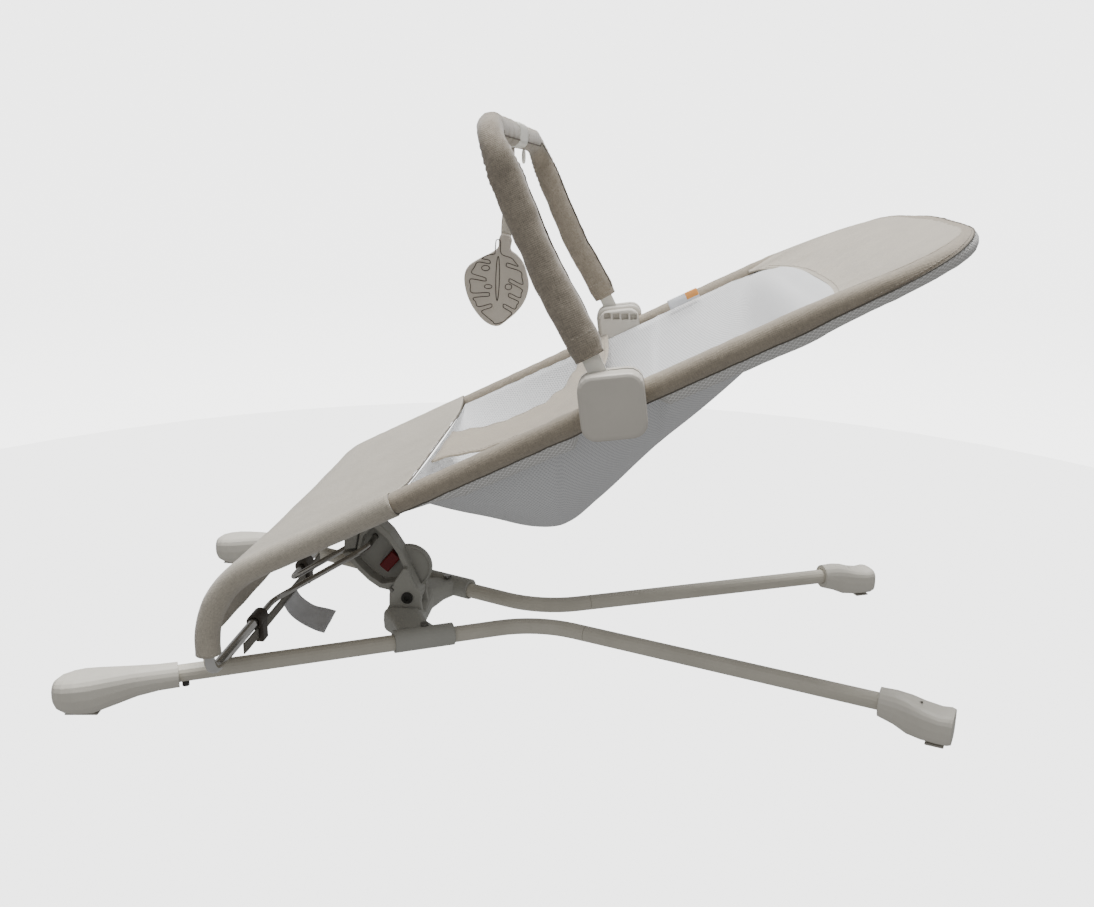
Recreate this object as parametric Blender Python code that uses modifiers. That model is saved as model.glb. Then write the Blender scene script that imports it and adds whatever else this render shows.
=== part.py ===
"""Baby bouncer seat: a fabric sling on a wire-sprung frame, over two bent base tubes joined by a recline hub.

World frame, metres: +X runs from the foot end to the head end, +Y to the far side, +Z up, floor at Z = 0.
"left" is the -Y side and "right" the +Y side, as the sitting child has them. The object is symmetric
about Y = 0, apart from the toy, the labels, the strap and the pivot bolt.
"""

import math

import bmesh
import bpy
from mathutils import Matrix, Vector

GAP = 0.0004
SIDES = {"left": -1, "right": 1}

# Base tubes, in plan for the right side
TUBE_R = 0.0080
TUBE_Z_FRONT = 0.0306
TUBE_Z_REAR = 0.0255
FRONT_SOCKET = Vector((-0.298, 0.1735))
WAIST_CORNER = Vector((0.0236, 0.0191))
REAR_SOCKET = Vector((0.3468, 0.1534))
WAIST_BEND_R = 0.094
SEAM_DISTANCE = 0.055
SPIGOT_R = 0.0055
SPIGOT_LENGTH = 0.036

# Feet
FOOT_SOCKET_DEPTH = 0.030
TOE_CENTRE = Vector((-0.3975, 0.1935))
PAD_THICKNESS = 0.0022
BUTTON_R = 0.0033
BUTTON_LENGTH = 0.0080

# Hub and recline arm
PIVOT = Vector((-0.112, 0.0, 0.050))
EAR_INNER_Y = 0.0125
EAR_THICKNESS = 0.0065
EAR_R = 0.0148
SLEEVE_R = 0.0112
SLEEVE_RISE = 0.0012
SLEEVE_MID = Vector((-0.0850, 0.0712))
SLEEVE_LENGTH = 0.060
BOLT_R = 0.0035
ARM_HALF_WIDTH = 0.0115
ARM_WALL = 0.0036
WEB_THICKNESS = 0.0075

# Seat frame and spring wire
RAIL_R = 0.0050
RAIL_Y = 0.198
RAIL_SLOPE = math.radians(26.2)
RAIL_REF = Vector((0.096, 0.0, 0.297))
HEAD_ALONG = 0.309
HEAD_DROP = 0.007
HEAD_CROWN = 0.013
HEAD_CORNER_R = 0.088
FOOT_X = -0.251
CROSS_Z = 0.0455
FOOT_BEND_R = 0.085
ELBOW_R = 0.016
COLLAR_Y = 0.080
BOW_SPLIT = 0.190
WIRE_R = 0.0030
WIRE_HALF_SPAN = 0.030
WIRE_ANGLE = math.radians(31.4)
WIRE_REACH = 0.119
COVER_R = 0.0096
HEAD_COVER_R = 0.0088
COVER_SLACK = 0.0006

# Seat fabric, distances along the rail from RAIL_REF
SEAM_ALONG = -0.1995
MESH_END_ALONG = 0.172
FABRIC = 0.0026
PANEL_HALF_WIDTH = 0.1868

# Toy bar
BAR_PIVOT = Vector((0.0985, 0.0, 0.3035))
BAR_PROFILE = ((0.0800, 0.3390), (0.0630, 0.3705), (0.0425, 0.4065), (0.0240, 0.4470), (0.0095, 0.4800), (-0.0030, 0.5110))
BAR_HALF_WIDTH = 0.2000
BAR_CORNER_R = 0.034
SLEEVE_HALF_WIDE = 0.0140
SLEEVE_HALF_THICK = 0.0095
CROSS_HALF_WIDE = 0.0100
CROSS_HALF_THICK = 0.0115
JOINT_HALF_LENGTH = 0.032
CLAMP_SIZE = 0.052
CLAMP_TILT = math.radians(-7.5)
TOY_Y = -0.040
TOY_TOP_Z = 0.4227

CREAM = (0.80, 0.77, 0.69)
GREIGE = (0.66, 0.64, 0.58)
TAUPE = (0.42, 0.38, 0.33)


def clear_scene():
    for obj in list(bpy.data.objects):
        bpy.data.objects.remove(obj, do_unlink=True)


def new_collection(name, hidden=False):
    collection = bpy.data.collections.new(name)
    bpy.context.scene.collection.children.link(collection)
    collection.hide_render = hidden
    return collection


clear_scene()
PARTS = new_collection("baby_bouncer_seat")
CUTTERS = new_collection("cutters", hidden=True)


def finish_of(name, colour, roughness, metallic=0.0):
    material = bpy.data.materials.new(name)
    material.use_nodes = True
    shader = material.node_tree.nodes["Principled BSDF"]
    shader.inputs["Base Color"].default_value = (*colour, 1.0)
    shader.inputs["Roughness"].default_value = roughness
    shader.inputs["Metallic"].default_value = metallic
    return material


def add_object(name, mesh, collection=None):
    obj = bpy.data.objects.new(name, mesh)
    (collection or PARTS).objects.link(obj)
    return obj


def dress(obj, colour, roughness, metallic=0.0):
    obj.data.materials.clear()
    obj.data.materials.append(finish_of(obj.name, colour, roughness, metallic))
    return obj


def baked(obj):
    """Turns a curve, or a mesh with modifiers, into a plain mesh object of the same name and place."""
    bpy.context.view_layer.update()
    evaluated = obj.evaluated_get(bpy.context.evaluated_depsgraph_get())
    mesh = bpy.data.meshes.new_from_object(evaluated)
    bm = bmesh.new()
    bm.from_mesh(mesh)
    bmesh.ops.remove_doubles(bm, verts=bm.verts, dist=0.00002)
    bmesh.ops.transform(bm, matrix=obj.matrix_world, verts=bm.verts)
    bmesh.ops.recalc_face_normals(bm, faces=bm.faces)
    bm.to_mesh(mesh)
    bm.free()
    name = obj.name
    collection = obj.users_collection[0]
    bpy.data.objects.remove(obj, do_unlink=True)
    solid = add_object(name, mesh, collection)
    solid.name = name
    return solid


def boolean(obj, tool, operation):
    """Joins a helper to an object, or cuts it out of it."""
    CUTTERS.objects.link(tool)
    PARTS.objects.unlink(tool)
    tool.display_type = "WIRE"
    tool.hide_render = True
    modifier = obj.modifiers.new(tool.name, "BOOLEAN")
    modifier.operation = operation
    modifier.solver = "EXACT"
    modifier.object = tool
    return obj


def cut(obj, tool):
    return boolean(obj, tool, "DIFFERENCE")


def join(obj, tool):
    return boolean(obj, tool, "UNION")


def rounded_path(corners, radii, steps):
    """The corners as a path whose inner corners are arcs of the given radii."""
    path = [corners[0]]
    for index, radius in enumerate(radii, start=1):
        corner = corners[index]
        before = (corners[index - 1] - corner).normalized()
        after = (corners[index + 1] - corner).normalized()
        half = before.angle(after) / 2
        centre = corner + (before + after).normalized() * radius / math.sin(half)
        start = corner + before * radius / math.tan(half) - centre
        end = corner + after * radius / math.tan(half) - centre
        turn = start.angle(end)
        for step in range(steps + 1):
            share = step / steps
            arm = start * math.sin((1 - share) * turn) + end * math.sin(share * turn)
            path.append(centre + arm / math.sin(turn))
    path.append(corners[-1])
    return path


def tube(name, points, radius, resolution=4, capped=True):
    """A round bar along the points; resolution 4 gives 12 sides."""
    curve = bpy.data.curves.new(name, "CURVE")
    curve.dimensions = "3D"
    curve.bevel_depth = radius
    curve.bevel_resolution = resolution
    curve.use_fill_caps = capped
    spline = curve.splines.new("POLY")
    spline.points.add(len(points) - 1)
    for place, point in zip(spline.points, points):
        place.co = (*point, 1.0)
    return baked(add_object(name, curve))


def cylinder(name, centre, direction, radius, length, segments=20):
    bm = bmesh.new()
    bmesh.ops.create_cone(
        bm, cap_ends=True, segments=segments, radius1=radius, radius2=radius, depth=length
    )
    turn = Vector((0, 0, 1)).rotation_difference(Vector(direction)).to_matrix().to_4x4()
    bmesh.ops.transform(bm, matrix=Matrix.Translation(centre) @ turn, verts=bm.verts)
    mesh = bpy.data.meshes.new(name)
    bm.to_mesh(mesh)
    bm.free()
    return add_object(name, mesh)


def block(name, centre, size, turn_y=0.0, turn_z=0.0, rounding=0.0, segments=2):
    bm = bmesh.new()
    bmesh.ops.create_cube(bm, size=1.0)
    bmesh.ops.scale(bm, vec=size, verts=bm.verts)
    if rounding:
        bmesh.ops.bevel(
            bm, geom=bm.edges[:], offset=rounding, segments=segments, affect="EDGES", profile=0.5
        )
    place = Matrix.Translation(centre) @ Matrix.Rotation(turn_z, 4, "Z") @ Matrix.Rotation(turn_y, 4, "Y")
    bmesh.ops.transform(bm, matrix=place, verts=bm.verts)
    mesh = bpy.data.meshes.new(name)
    bm.to_mesh(mesh)
    bm.free()
    return add_object(name, mesh)


def plate(name, outlines, low_y, high_y, bevel=0.0):
    """A plate standing in the XZ plane. The first outline is its edge, any others are holes."""
    curve = bpy.data.curves.new(name, "CURVE")
    curve.dimensions = "2D"
    curve.fill_mode = "BOTH"
    curve.extrude = (high_y - low_y) / 2 - bevel
    curve.bevel_depth = bevel
    curve.bevel_resolution = 0
    curve.offset = -bevel
    for outline in outlines:
        spline = curve.splines.new("POLY")
        spline.points.add(len(outline) - 1)
        for place, (x, z) in zip(spline.points, outline):
            place.co = (x, z, 0.0, 1.0)
        spline.use_cyclic_u = True
    obj = add_object(name, curve)
    obj.rotation_euler = (math.pi / 2, 0, 0)
    obj.location = (0, (low_y + high_y) / 2, 0)
    return baked(obj)


def circle_points(centre, radius, count, start=0.0, sweep=2 * math.pi):
    closed = abs(sweep - 2 * math.pi) < 1e-6
    steps = count if closed else count - 1
    return [
        (
            centre[0] + radius * math.cos(start + sweep * step / steps),
            centre[1] + radius * math.sin(start + sweep * step / steps),
        )
        for step in range(count)
    ]


def loft(name, sections, sides=16):
    """A closed body through oval sections: (centre, across, up, half width, half height, squareness)."""
    bm = bmesh.new()
    rings = []
    for centre, across, up, half_width, half_height, square in sections:
        ring = bmesh.ops.create_circle(bm, cap_ends=False, radius=1.0, segments=sides)["verts"]
        for vertex in ring:
            angle = math.atan2(vertex.co.y, vertex.co.x)
            cos, sin = math.cos(angle), math.sin(angle)
            wide = math.copysign(abs(cos) ** (2 / square), cos) * half_width
            high = math.copysign(abs(sin) ** (2 / square), sin) * half_height
            vertex.co = centre + across * wide + up * high
        rings.append(ring)
    for lower, upper in zip(rings, rings[1:]):
        for index in range(sides):
            after = (index + 1) % sides
            bm.faces.new((lower[index], lower[after], upper[after], upper[index]))
    bm.faces.new(rings[0])
    bm.faces.new(rings[-1])
    bmesh.ops.recalc_face_normals(bm, faces=bm.faces)
    mesh = bpy.data.meshes.new(name)
    bm.to_mesh(mesh)
    bm.free()
    return add_object(name, mesh)


def sheet(name, place, columns, rows, thickness):
    """A closed sheet of fabric through place(u, v), with u and v from 0 to 1."""
    bm = bmesh.new()
    bmesh.ops.create_grid(bm, x_segments=columns, y_segments=rows, size=0.5)
    for vertex in bm.verts:
        vertex.co = place(vertex.co.x + 0.5, vertex.co.y + 0.5)
    mesh = bpy.data.meshes.new(name)
    bm.to_mesh(mesh)
    bm.free()
    obj = add_object(name, mesh)
    solidify = obj.modifiers.new("thickness", "SOLIDIFY")
    solidify.thickness = thickness
    solidify.offset = 0.0
    return baked(obj)


def tube_z(x):
    share = (x - FRONT_SOCKET.x) / (REAR_SOCKET.x - FRONT_SOCKET.x)
    return TUBE_Z_FRONT + (TUBE_Z_REAR - TUBE_Z_FRONT) * share


def in_plan(point, side):
    """A plan point of the right side as a 3-D point on the tube's height, for the named side."""
    return Vector((point.x, SIDES[side] * point.y, tube_z(point.x)))


def on_rail(along, y=0.0, above=0.0):
    """A point by its distance along the rail from RAIL_REF, its Y and its height above the rail plane."""
    cos, sin = math.cos(RAIL_SLOPE), math.sin(RAIL_SLOPE)
    return Vector((RAIL_REF.x + along * cos - above * sin, y, RAIL_REF.z + along * sin + above * cos))


FRONT_LINE = (WAIST_CORNER - FRONT_SOCKET).normalized()
REAR_LINE = (REAR_SOCKET - WAIST_CORNER).normalized()
SEAM = WAIST_CORNER + REAR_LINE * SEAM_DISTANCE


def base_tube(side):
    """The front tube: from inside the front foot, through the hub, round the waist to the seam."""
    start = FRONT_SOCKET - FRONT_LINE * (FOOT_SOCKET_DEPTH - 0.002)
    path = rounded_path([start, WAIST_CORNER, SEAM - REAR_LINE * GAP / 2], [WAIST_BEND_R], 8)
    obj = tube(f"base_tube_{side}", [in_plan(point, side) for point in path], TUBE_R, 6)
    bore_tube(obj, side)
    hole = button_place(side) + Vector((0, 0, 0.0020))
    cut(obj, cylinder(f"button_hole_{side}", hole, (0, 0, 1), BUTTON_R + GAP, 0.0120, 16))
    return dress(obj, GREIGE, 0.35, 0.1)


def rear_tube(side):
    end = REAR_SOCKET + REAR_LINE * (FOOT_SOCKET_DEPTH - 0.004)
    path = [SEAM + REAR_LINE * GAP / 2, end]
    obj = tube(f"rear_tube_{side}", [in_plan(point, side) for point in path], TUBE_R, 6)
    bore_tube(obj, side)
    return dress(obj, GREIGE, 0.35, 0.1)


def rear_direction(side):
    ahead = in_plan(SEAM + REAR_LINE * 0.01, side) - in_plan(SEAM, side)
    return ahead.normalized()


def bore_tube(obj, side):
    """The blind bore at the seam, which takes half of the spigot."""
    bore = cylinder(
        f"{obj.name}_bore", in_plan(SEAM, side), rear_direction(side), SPIGOT_R + GAP, SPIGOT_LENGTH + 0.002, 12
    )
    return cut(obj, bore)


def tube_spigot(side):
    obj = cylinder(
        f"tube_spigot_{side}", in_plan(SEAM, side), rear_direction(side), SPIGOT_R, SPIGOT_LENGTH, 12
    )
    return dress(obj, (0.55, 0.55, 0.55), 0.3, 1.0)


# Front foot sections: share of the way to the toe, half width, lowest and highest Z, squareness
FRONT_FOOT_SECTIONS = (
    (0.00, 0.0118, 0.0178, 0.0412, 2.0),
    (0.22, 0.0120, 0.0172, 0.0412, 2.1),
    (0.42, 0.0134, 0.0140, 0.0410, 2.4),
    (0.60, 0.0165, 0.0080, 0.0398, 2.8),
    (0.76, 0.0200, 0.0024, 0.0380, 3.2),
    (0.88, 0.0216, 0.0022, 0.0362, 3.4),
    (0.96, 0.0200, 0.0026, 0.0348, 3.2),
    (1.02, 0.0160, 0.0040, 0.0330, 2.8),
    (1.055, 0.0105, 0.0066, 0.0300, 2.4),
)


def front_foot_frame(side):
    """A function from the share of the way to the toe to the foot's centre and direction in plan."""
    socket = FRONT_SOCKET + FRONT_LINE * 0.006
    toe = TOE_CENTRE
    knee = socket - FRONT_LINE * 0.040

    def frame(share):
        point = socket * (1 - share) ** 2 + knee * 2 * share * (1 - share) + toe * share**2
        ahead = ((knee - socket) * (1 - share) + (toe - knee) * share).normalized()
        return point, ahead

    return frame


def front_foot(side):
    sign = SIDES[side]
    frame = front_foot_frame(side)
    sections = []
    for share, half_width, low, high, square in FRONT_FOOT_SECTIONS:
        point, ahead = frame(share * 0.95)
        centre = Vector((point.x, sign * point.y, (low + high) / 2))
        across = Vector((ahead.y, -sign * ahead.x, 0.0))
        sections.append((centre, across, Vector((0, 0, 1)), half_width, (high - low) / 2, square))
    obj = loft(f"front_foot_{side}", sections, 20)
    start = FRONT_SOCKET + FRONT_LINE * 0.02
    end = FRONT_SOCKET - FRONT_LINE * FOOT_SOCKET_DEPTH
    middle = (in_plan(start, side) + in_plan(end, side)) / 2
    length = (in_plan(start, side) - in_plan(end, side)).length
    socket = cylinder(
        f"front_foot_{side}_socket", middle, in_plan(start, side) - in_plan(end, side), TUBE_R + GAP, length, 20
    )
    cut(obj, socket)
    return dress(obj, CREAM, 0.45)


def front_pad(side):
    """The rubber pad under the toe of the front foot."""
    sign = SIDES[side]
    frame = front_foot_frame(side)
    low, _ = frame(0.74)
    toe, ahead = frame(0.90)
    centre = Vector(((low.x + toe.x) / 2, sign * (low.y + toe.y) / 2, PAD_THICKNESS / 2))
    turn = math.atan2(sign * ahead.y, ahead.x)
    obj = block(
        f"front_pad_{side}", centre, (0.030, 0.020, PAD_THICKNESS - GAP), turn_z=turn, rounding=0.0007, segments=1
    )
    obj.data.transform(Matrix.Translation((0, 0, -GAP / 2)))
    return dress(obj, (0.35, 0.34, 0.32), 0.8)


def button_place(side):
    place = FRONT_SOCKET + FRONT_LINE * 0.0115
    return in_plan(place, side) - Vector((0, 0, TUBE_R + 0.0005))


def front_button(side):
    """The sprung button under the tube, right at the foot's socket, which locks the foot on."""
    obj = cylinder(f"foot_button_{side}", Vector((0, 0, 0)), (0, 0, 1), BUTTON_R, BUTTON_LENGTH, 12)
    obj.location = button_place(side)
    return dress(obj, (0.09, 0.08, 0.07), 0.45)


def rear_foot(side):
    sign = SIDES[side]
    across = Vector((REAR_LINE.y, -sign * REAR_LINE.x, 0.0))
    sections = []
    for along, half_width, low, high, square in (
        (-0.006, 0.0122, 0.0122, 0.0388, 2.0),
        (0.008, 0.0130, 0.0080, 0.0390, 2.2),
        (0.020, 0.0144, 0.0032, 0.0368, 2.8),
        (0.032, 0.0156, 0.0022, 0.0326, 3.4),
        (0.046, 0.0166, 0.0022, 0.0300, 3.6),
        (0.054, 0.0166, 0.0022, 0.0312, 3.4),
        (0.0575, 0.0155, 0.0032, 0.0304, 3.2),
    ):
        point = REAR_SOCKET + REAR_LINE * along
        centre = Vector((point.x, sign * point.y, (low + high) / 2))
        sections.append((centre, across, Vector((0, 0, 1)), half_width, (high - low) / 2, square))
    obj = loft(f"rear_foot_{side}", sections, 20)
    start = in_plan(REAR_SOCKET - REAR_LINE * 0.02, side)
    end = in_plan(REAR_SOCKET + REAR_LINE * FOOT_SOCKET_DEPTH, side)
    cut(obj, cylinder(f"rear_foot_{side}_socket", (start + end) / 2, end - start, TUBE_R + GAP, (end - start).length, 20))
    return dress(obj, CREAM, 0.45)


def rear_pad(side):
    sign = SIDES[side]
    point = REAR_SOCKET + REAR_LINE * 0.044
    turn = math.atan2(sign * REAR_LINE.y, REAR_LINE.x)
    obj = block(
        f"rear_pad_{side}",
        Vector((point.x, sign * point.y, (PAD_THICKNESS - GAP) / 2)),
        (0.016, 0.024, PAD_THICKNESS - GAP),
        turn_z=turn,
        rounding=0.0007,
        segments=1,
    )
    return dress(obj, (0.35, 0.34, 0.32), 0.8)


def hub_saddle():
    """The moulding that bridges the two tubes and carries the pivot between two ears."""
    up = Vector((0, 0, 1))
    forward = Vector((1, 0, 0))
    sections = []
    for y, x_low, x_high, z_low, z_high in (
        (0.068, -0.1120, -0.0640, 0.0220, 0.0385),
        (0.048, -0.1220, -0.0840, 0.0180, 0.0400),
        (0.030, -0.1350, -0.0935, 0.0140, 0.0430),
        (0.0, -0.1395, -0.0955, 0.0130, 0.0310),
    ):
        row = (x_low + x_high) / 2, z_low, z_high, (x_high - x_low) / 2, y
        sections.append(row)
    mirrored = [(x, low, high, half, -y) for x, low, high, half, y in reversed(sections[:-1])]
    body = loft(
        "hub_saddle",
        [
            (Vector((x, y, (low + high) / 2)), forward, up, half, (high - low) / 2, 4.0)
            for x, low, high, half, y in sections + mirrored
        ],
        20,
    )
    for side, sign in SIDES.items():
        line = in_plan(SLEEVE_MID + FRONT_LINE * 0.01, side) - in_plan(SLEEVE_MID, side)
        middle = in_plan(SLEEVE_MID, side)
        risen = middle + Vector((0, 0, SLEEVE_RISE))
        join(body, cylinder(f"hub_sleeve_{side}", risen, line, SLEEVE_R, SLEEVE_LENGTH, 28))
        inner = sign * EAR_INNER_Y
        outer = sign * (EAR_INNER_Y + EAR_THICKNESS)
        join(body, plate(f"hub_ear_{side}", [ear_outline()], min(inner, outer), max(inner, outer), 0.0008))
    for side in SIDES:
        line = in_plan(SLEEVE_MID + FRONT_LINE * 0.01, side) - in_plan(SLEEVE_MID, side)
        middle = in_plan(SLEEVE_MID, side)
        cut(body, cylinder(f"hub_tube_hole_{side}", middle, line, TUBE_R + GAP, SLEEVE_LENGTH * 1.4, 24))
        cut(body, cylinder(f"hub_screw_hole_{side}", screw_place(side), (0, 0, 1), 0.0024, 0.012, 12))
        recess = screw_place(side) + Vector((0, 0, 0.0013 + 0.006))
        cut(body, cylinder(f"hub_screw_recess_{side}", recess, (0, 0, 1), 0.0047, 0.012, 16))
    cut(body, cylinder("hub_bolt_hole", PIVOT, (0, 1, 0), BOLT_R + GAP, 0.06, 16))
    cut(body, cylinder("hub_pin_hole", STOP_PIN, (0, 1, 0), 0.0020 + GAP, 0.06, 12))
    clearance = cylinder("hub_arm_room", PIVOT, (0, 1, 0), 0.0142, 2 * EAR_INNER_Y - 2 * GAP, 32)
    cut(body, clearance)
    return dress(body, GREIGE, 0.5)


STOP_PIN = Vector((-0.1285, 0.0, 0.0575))
PIN_SWEEP = math.radians(21)


def ear_outline():
    """One ear: a round lug about the pivot, with a tongue up to the latch and a foot in the saddle."""
    x, z = PIVOT.x, PIVOT.z
    lug_low = circle_points((x, z), EAR_R, 7, math.radians(-20), math.radians(75))
    tongue = [(x + 0.0045, z + 0.0195), (x + 0.0005, z + 0.0310), (x - 0.0035, z + 0.0315), (x - 0.0130, z + 0.0175)]
    boss = circle_points((x, z), EAR_R + 0.0045, 5, math.radians(142), math.radians(30))
    foot = [(x - 0.0200, z - 0.0230), (x - 0.0140, z - 0.0330), (x + 0.0130, z - 0.0330), (x + 0.0158, z - 0.0180)]
    return lug_low + tongue + boss + foot


def screw_place(side):
    centre = in_plan(SLEEVE_MID, side)
    centre.y -= SIDES[side] * 0.006
    return centre + Vector((0, 0, 0.0100))


def hub_screw(side):
    """The screw that clamps the saddle to a tube."""
    obj = cylinder(f"hub_screw_{side}", screw_place(side) + Vector((0, 0, 0.0018)), (0, 0, 1), 0.0042, 0.0022, 14)
    obj.data.transform(Matrix.Translation((0, 0, 0.0012)))
    join(obj, cylinder(f"hub_screw_shank_{side}", screw_place(side) + Vector((0, 0, 0.0008)), (0, 0, 1), 0.0020, 0.0060, 10))
    return dress(obj, (0.75, 0.75, 0.75), 0.2, 1.0)


def pivot_bolt():
    length = 2 * (EAR_INNER_Y + EAR_THICKNESS) + 0.006
    obj = cylinder("pivot_bolt", PIVOT + Vector((0, 0.0010, 0)), (0, 1, 0), BOLT_R, length, 16)
    head_y = -(EAR_INNER_Y + EAR_THICKNESS) - 0.0016
    join(obj, cylinder("pivot_bolt_head", PIVOT + Vector((0, head_y, 0)), (0, 1, 0), 0.0060, 0.0024, 20))
    cut(obj, cylinder("pivot_bolt_hex", PIVOT + Vector((0, head_y - 0.0012, 0)), (0, 1, 0), 0.0030, 0.0034, 6))
    return dress(obj, (0.32, 0.31, 0.29), 0.3, 1.0)


def pivot_nut():
    y = EAR_INNER_Y + EAR_THICKNESS + 0.0020
    obj = cylinder("pivot_nut", PIVOT + Vector((0, y, 0)), (0, 1, 0), 0.0060, 0.0030, 6)
    cut(obj, cylinder("pivot_nut_hole", PIVOT + Vector((0, y, 0)), (0, 1, 0), BOLT_R + GAP, 0.01, 16))
    return dress(obj, (0.32, 0.31, 0.29), 0.3, 1.0)


def stop_pin():
    """The steel pin across both ears that the arm rests on at its upright stop."""
    length = 2 * (EAR_INNER_Y + EAR_THICKNESS) + 0.003
    obj = cylinder("stop_pin", STOP_PIN, (0, 1, 0), 0.0020, length, 12)
    return dress(obj, (0.10, 0.09, 0.08), 0.35, 0.8)


LOBE = Vector((-0.1145, 0.0, 0.0745))
LOBE_R = 0.0240
WIRE_END = Vector((FOOT_X, 0.0, CROSS_Z)) + Vector((math.cos(WIRE_ANGLE), 0, math.sin(WIRE_ANGLE))) * WIRE_REACH


def arm_outline():
    """The channel arm from the side: rear wall down to the pivot boss, then the front wall back up."""
    rear = [(-0.1440, 0.1300), (-0.1300, 0.1160), (-0.1190, 0.0985), (-0.1110, 0.0790)]
    boss = circle_points((PIVOT.x, PIVOT.z), 0.0132, 9, math.radians(40), math.radians(-230))
    front = [(-0.1430, 0.0560), (-0.1545, 0.0640), (-0.1650, 0.0745), (-0.1755, 0.0870)]
    top = [(-0.1810, 0.0935), (-0.1660, 0.0955), (-0.1620, 0.1150), (-0.1540, 0.1240)]
    return rear + boss + front + top


def arm_pocket():
    """The hollow of the channel, a wall's thickness inside the outline."""
    rear = [(-0.1478, 0.1235), (-0.1335, 0.1110), (-0.1228, 0.0950), (-0.1165, 0.0790)]
    floor = [(-0.1150, 0.0690), (-0.1260, 0.0640), (-0.1400, 0.0610)]
    front = [(-0.1520, 0.0690), (-0.1620, 0.0790), (-0.1705, 0.0895)]
    return rear + floor + front + [(-0.1645, 0.0920), (-0.1580, 0.1130)]


def arm_shell():
    """The recline arm: a channel open on the left, with a round lobe on its web and the pivot boss."""
    obj = plate("arm_shell", [arm_outline()], -ARM_HALF_WIDTH, ARM_HALF_WIDTH, 0.0008)
    web_y = ARM_HALF_WIDTH - WEB_THICKNESS
    cut(obj, plate("arm_hollow", [arm_pocket()], -ARM_HALF_WIDTH - 0.01, web_y))
    lobe_mid = LOBE + Vector((0, ARM_HALF_WIDTH - WEB_THICKNESS / 2, 0))
    join(obj, cylinder("arm_lobe", lobe_mid, (0, 1, 0), LOBE_R, WEB_THICKNESS - 0.001, 40))
    dish = cylinder("arm_lobe_dish", lobe_mid - Vector((0, WEB_THICKNESS / 2, 0)), (0, 1, 0), LOBE_R - 0.0028, 0.003, 36)
    cut(dish, block("arm_lobe_keep", (-0.152, 0.004, 0.085), (0.08, 0.02, 0.12)))
    cut(obj, baked(dish))
    cut(obj, cylinder("arm_bolt_bore", PIVOT, (0, 1, 0), BOLT_R + GAP, 0.05, 16))
    cut(obj, plate("arm_pin_slot", [pin_slot()], -0.03, 0.03))
    cut(obj, cylinder("arm_wire_bore", WIRE_END, (0, 1, 0), WIRE_R + GAP, 0.05, 16))
    for index, place in enumerate(clamp_screw_places()):
        cut(obj, cylinder(f"arm_screw_hole_{index}", place, CLAMP_SCREW_LINE, 0.0019, 0.024, 10))
    return dress(obj, GREIGE, 0.5)


def pin_slot():
    """The slot about the pivot that lets the arm swing over the stop pin."""
    arm = STOP_PIN - PIVOT
    angle = math.atan2(arm.z, arm.x)
    half = 0.0020 + GAP
    centre = (PIVOT.x, PIVOT.z)
    outer = circle_points(centre, arm.length + half, 5, angle, PIN_SWEEP)
    end = (PIVOT.x + arm.length * math.cos(angle + PIN_SWEEP), PIVOT.z + arm.length * math.sin(angle + PIN_SWEEP))
    far_cap = circle_points(end, half, 5, angle + PIN_SWEEP + 0.5, math.pi - 1.0)
    inner = circle_points(centre, arm.length - half, 5, angle + PIN_SWEEP, -PIN_SWEEP)
    near_cap = circle_points((STOP_PIN.x, STOP_PIN.z), half, 5, angle + math.pi + 0.5, math.pi - 1.0)
    return outer + far_cap + inner + near_cap


CLAMP_SCREW_LINE = (-0.62, 0.0, 0.78)


def clamp_screw_places():
    return [Vector((-0.1722, 0.0, 0.0985)), Vector((-0.1500, 0.0, 0.1230))]


def wire_clamp():
    """The claw on top of the arm that holds the wire down."""
    outline = [
        (-0.1795, 0.0965), (-0.1672, 0.0985), (-0.1636, 0.1165), (-0.1550, 0.1262), (-0.1440, 0.1318),
        (-0.1470, 0.1362), (-0.1590, 0.1315), (-0.1690, 0.1205), (-0.1780, 0.1195),
    ]
    obj = plate("wire_clamp", [outline], -0.0100, 0.0100, 0.0007)
    for index, place in enumerate(clamp_screw_places()):
        cut(obj, cylinder(f"claw_screw_hole_{index}", place, CLAMP_SCREW_LINE, 0.0019, 0.05, 10))
    return dress(obj, (0.45, 0.44, 0.38), 0.5)


def clamp_screw(index):
    line = Vector(CLAMP_SCREW_LINE).normalized()
    place = clamp_screw_places()[index]
    reach = (0.0275, 0.0155)[index]
    obj = cylinder(f"clamp_screw_{index + 1}", place + line * (reach - 0.0120), line, 0.0015, 0.020, 10)
    join(obj, cylinder(f"clamp_screw_head_{index + 1}", place + line * (reach - 0.0014), line, 0.0030, 0.0024, 12))
    return dress(obj, (0.32, 0.31, 0.29), 0.3, 1.0)


LATCH_LINE = Vector((-0.655, 0.0, 0.756))


def latch_button():
    """The red slide in the channel. Its origin is its middle, and it moves along LATCH_LINE."""
    middle = Vector((-0.1318, -0.0035, 0.0848))
    turn = math.atan2(-LATCH_LINE.z, LATCH_LINE.x) + math.pi
    obj = block("latch_button", (0, 0, 0), (0.0210, 0.0130, 0.0120), turn_y=-turn, rounding=0.0014, segments=2)
    obj.location = middle
    return dress(obj, (0.25, 0.01, 0.012), 0.4)


def rail_path(side):
    """The seat rail: from the bow's split down to the foot bend, then the elbow to the collar."""
    y = SIDES[side] * RAIL_Y
    foot_corner = on_rail((FOOT_X - RAIL_REF.x) / math.cos(RAIL_SLOPE), y)
    elbow = Vector((FOOT_X, y, CROSS_Z))
    end = Vector((FOOT_X, SIDES[side] * COLLAR_Y, CROSS_Z))
    return [on_rail(BOW_SPLIT - GAP, y), foot_corner, elbow, end]


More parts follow.
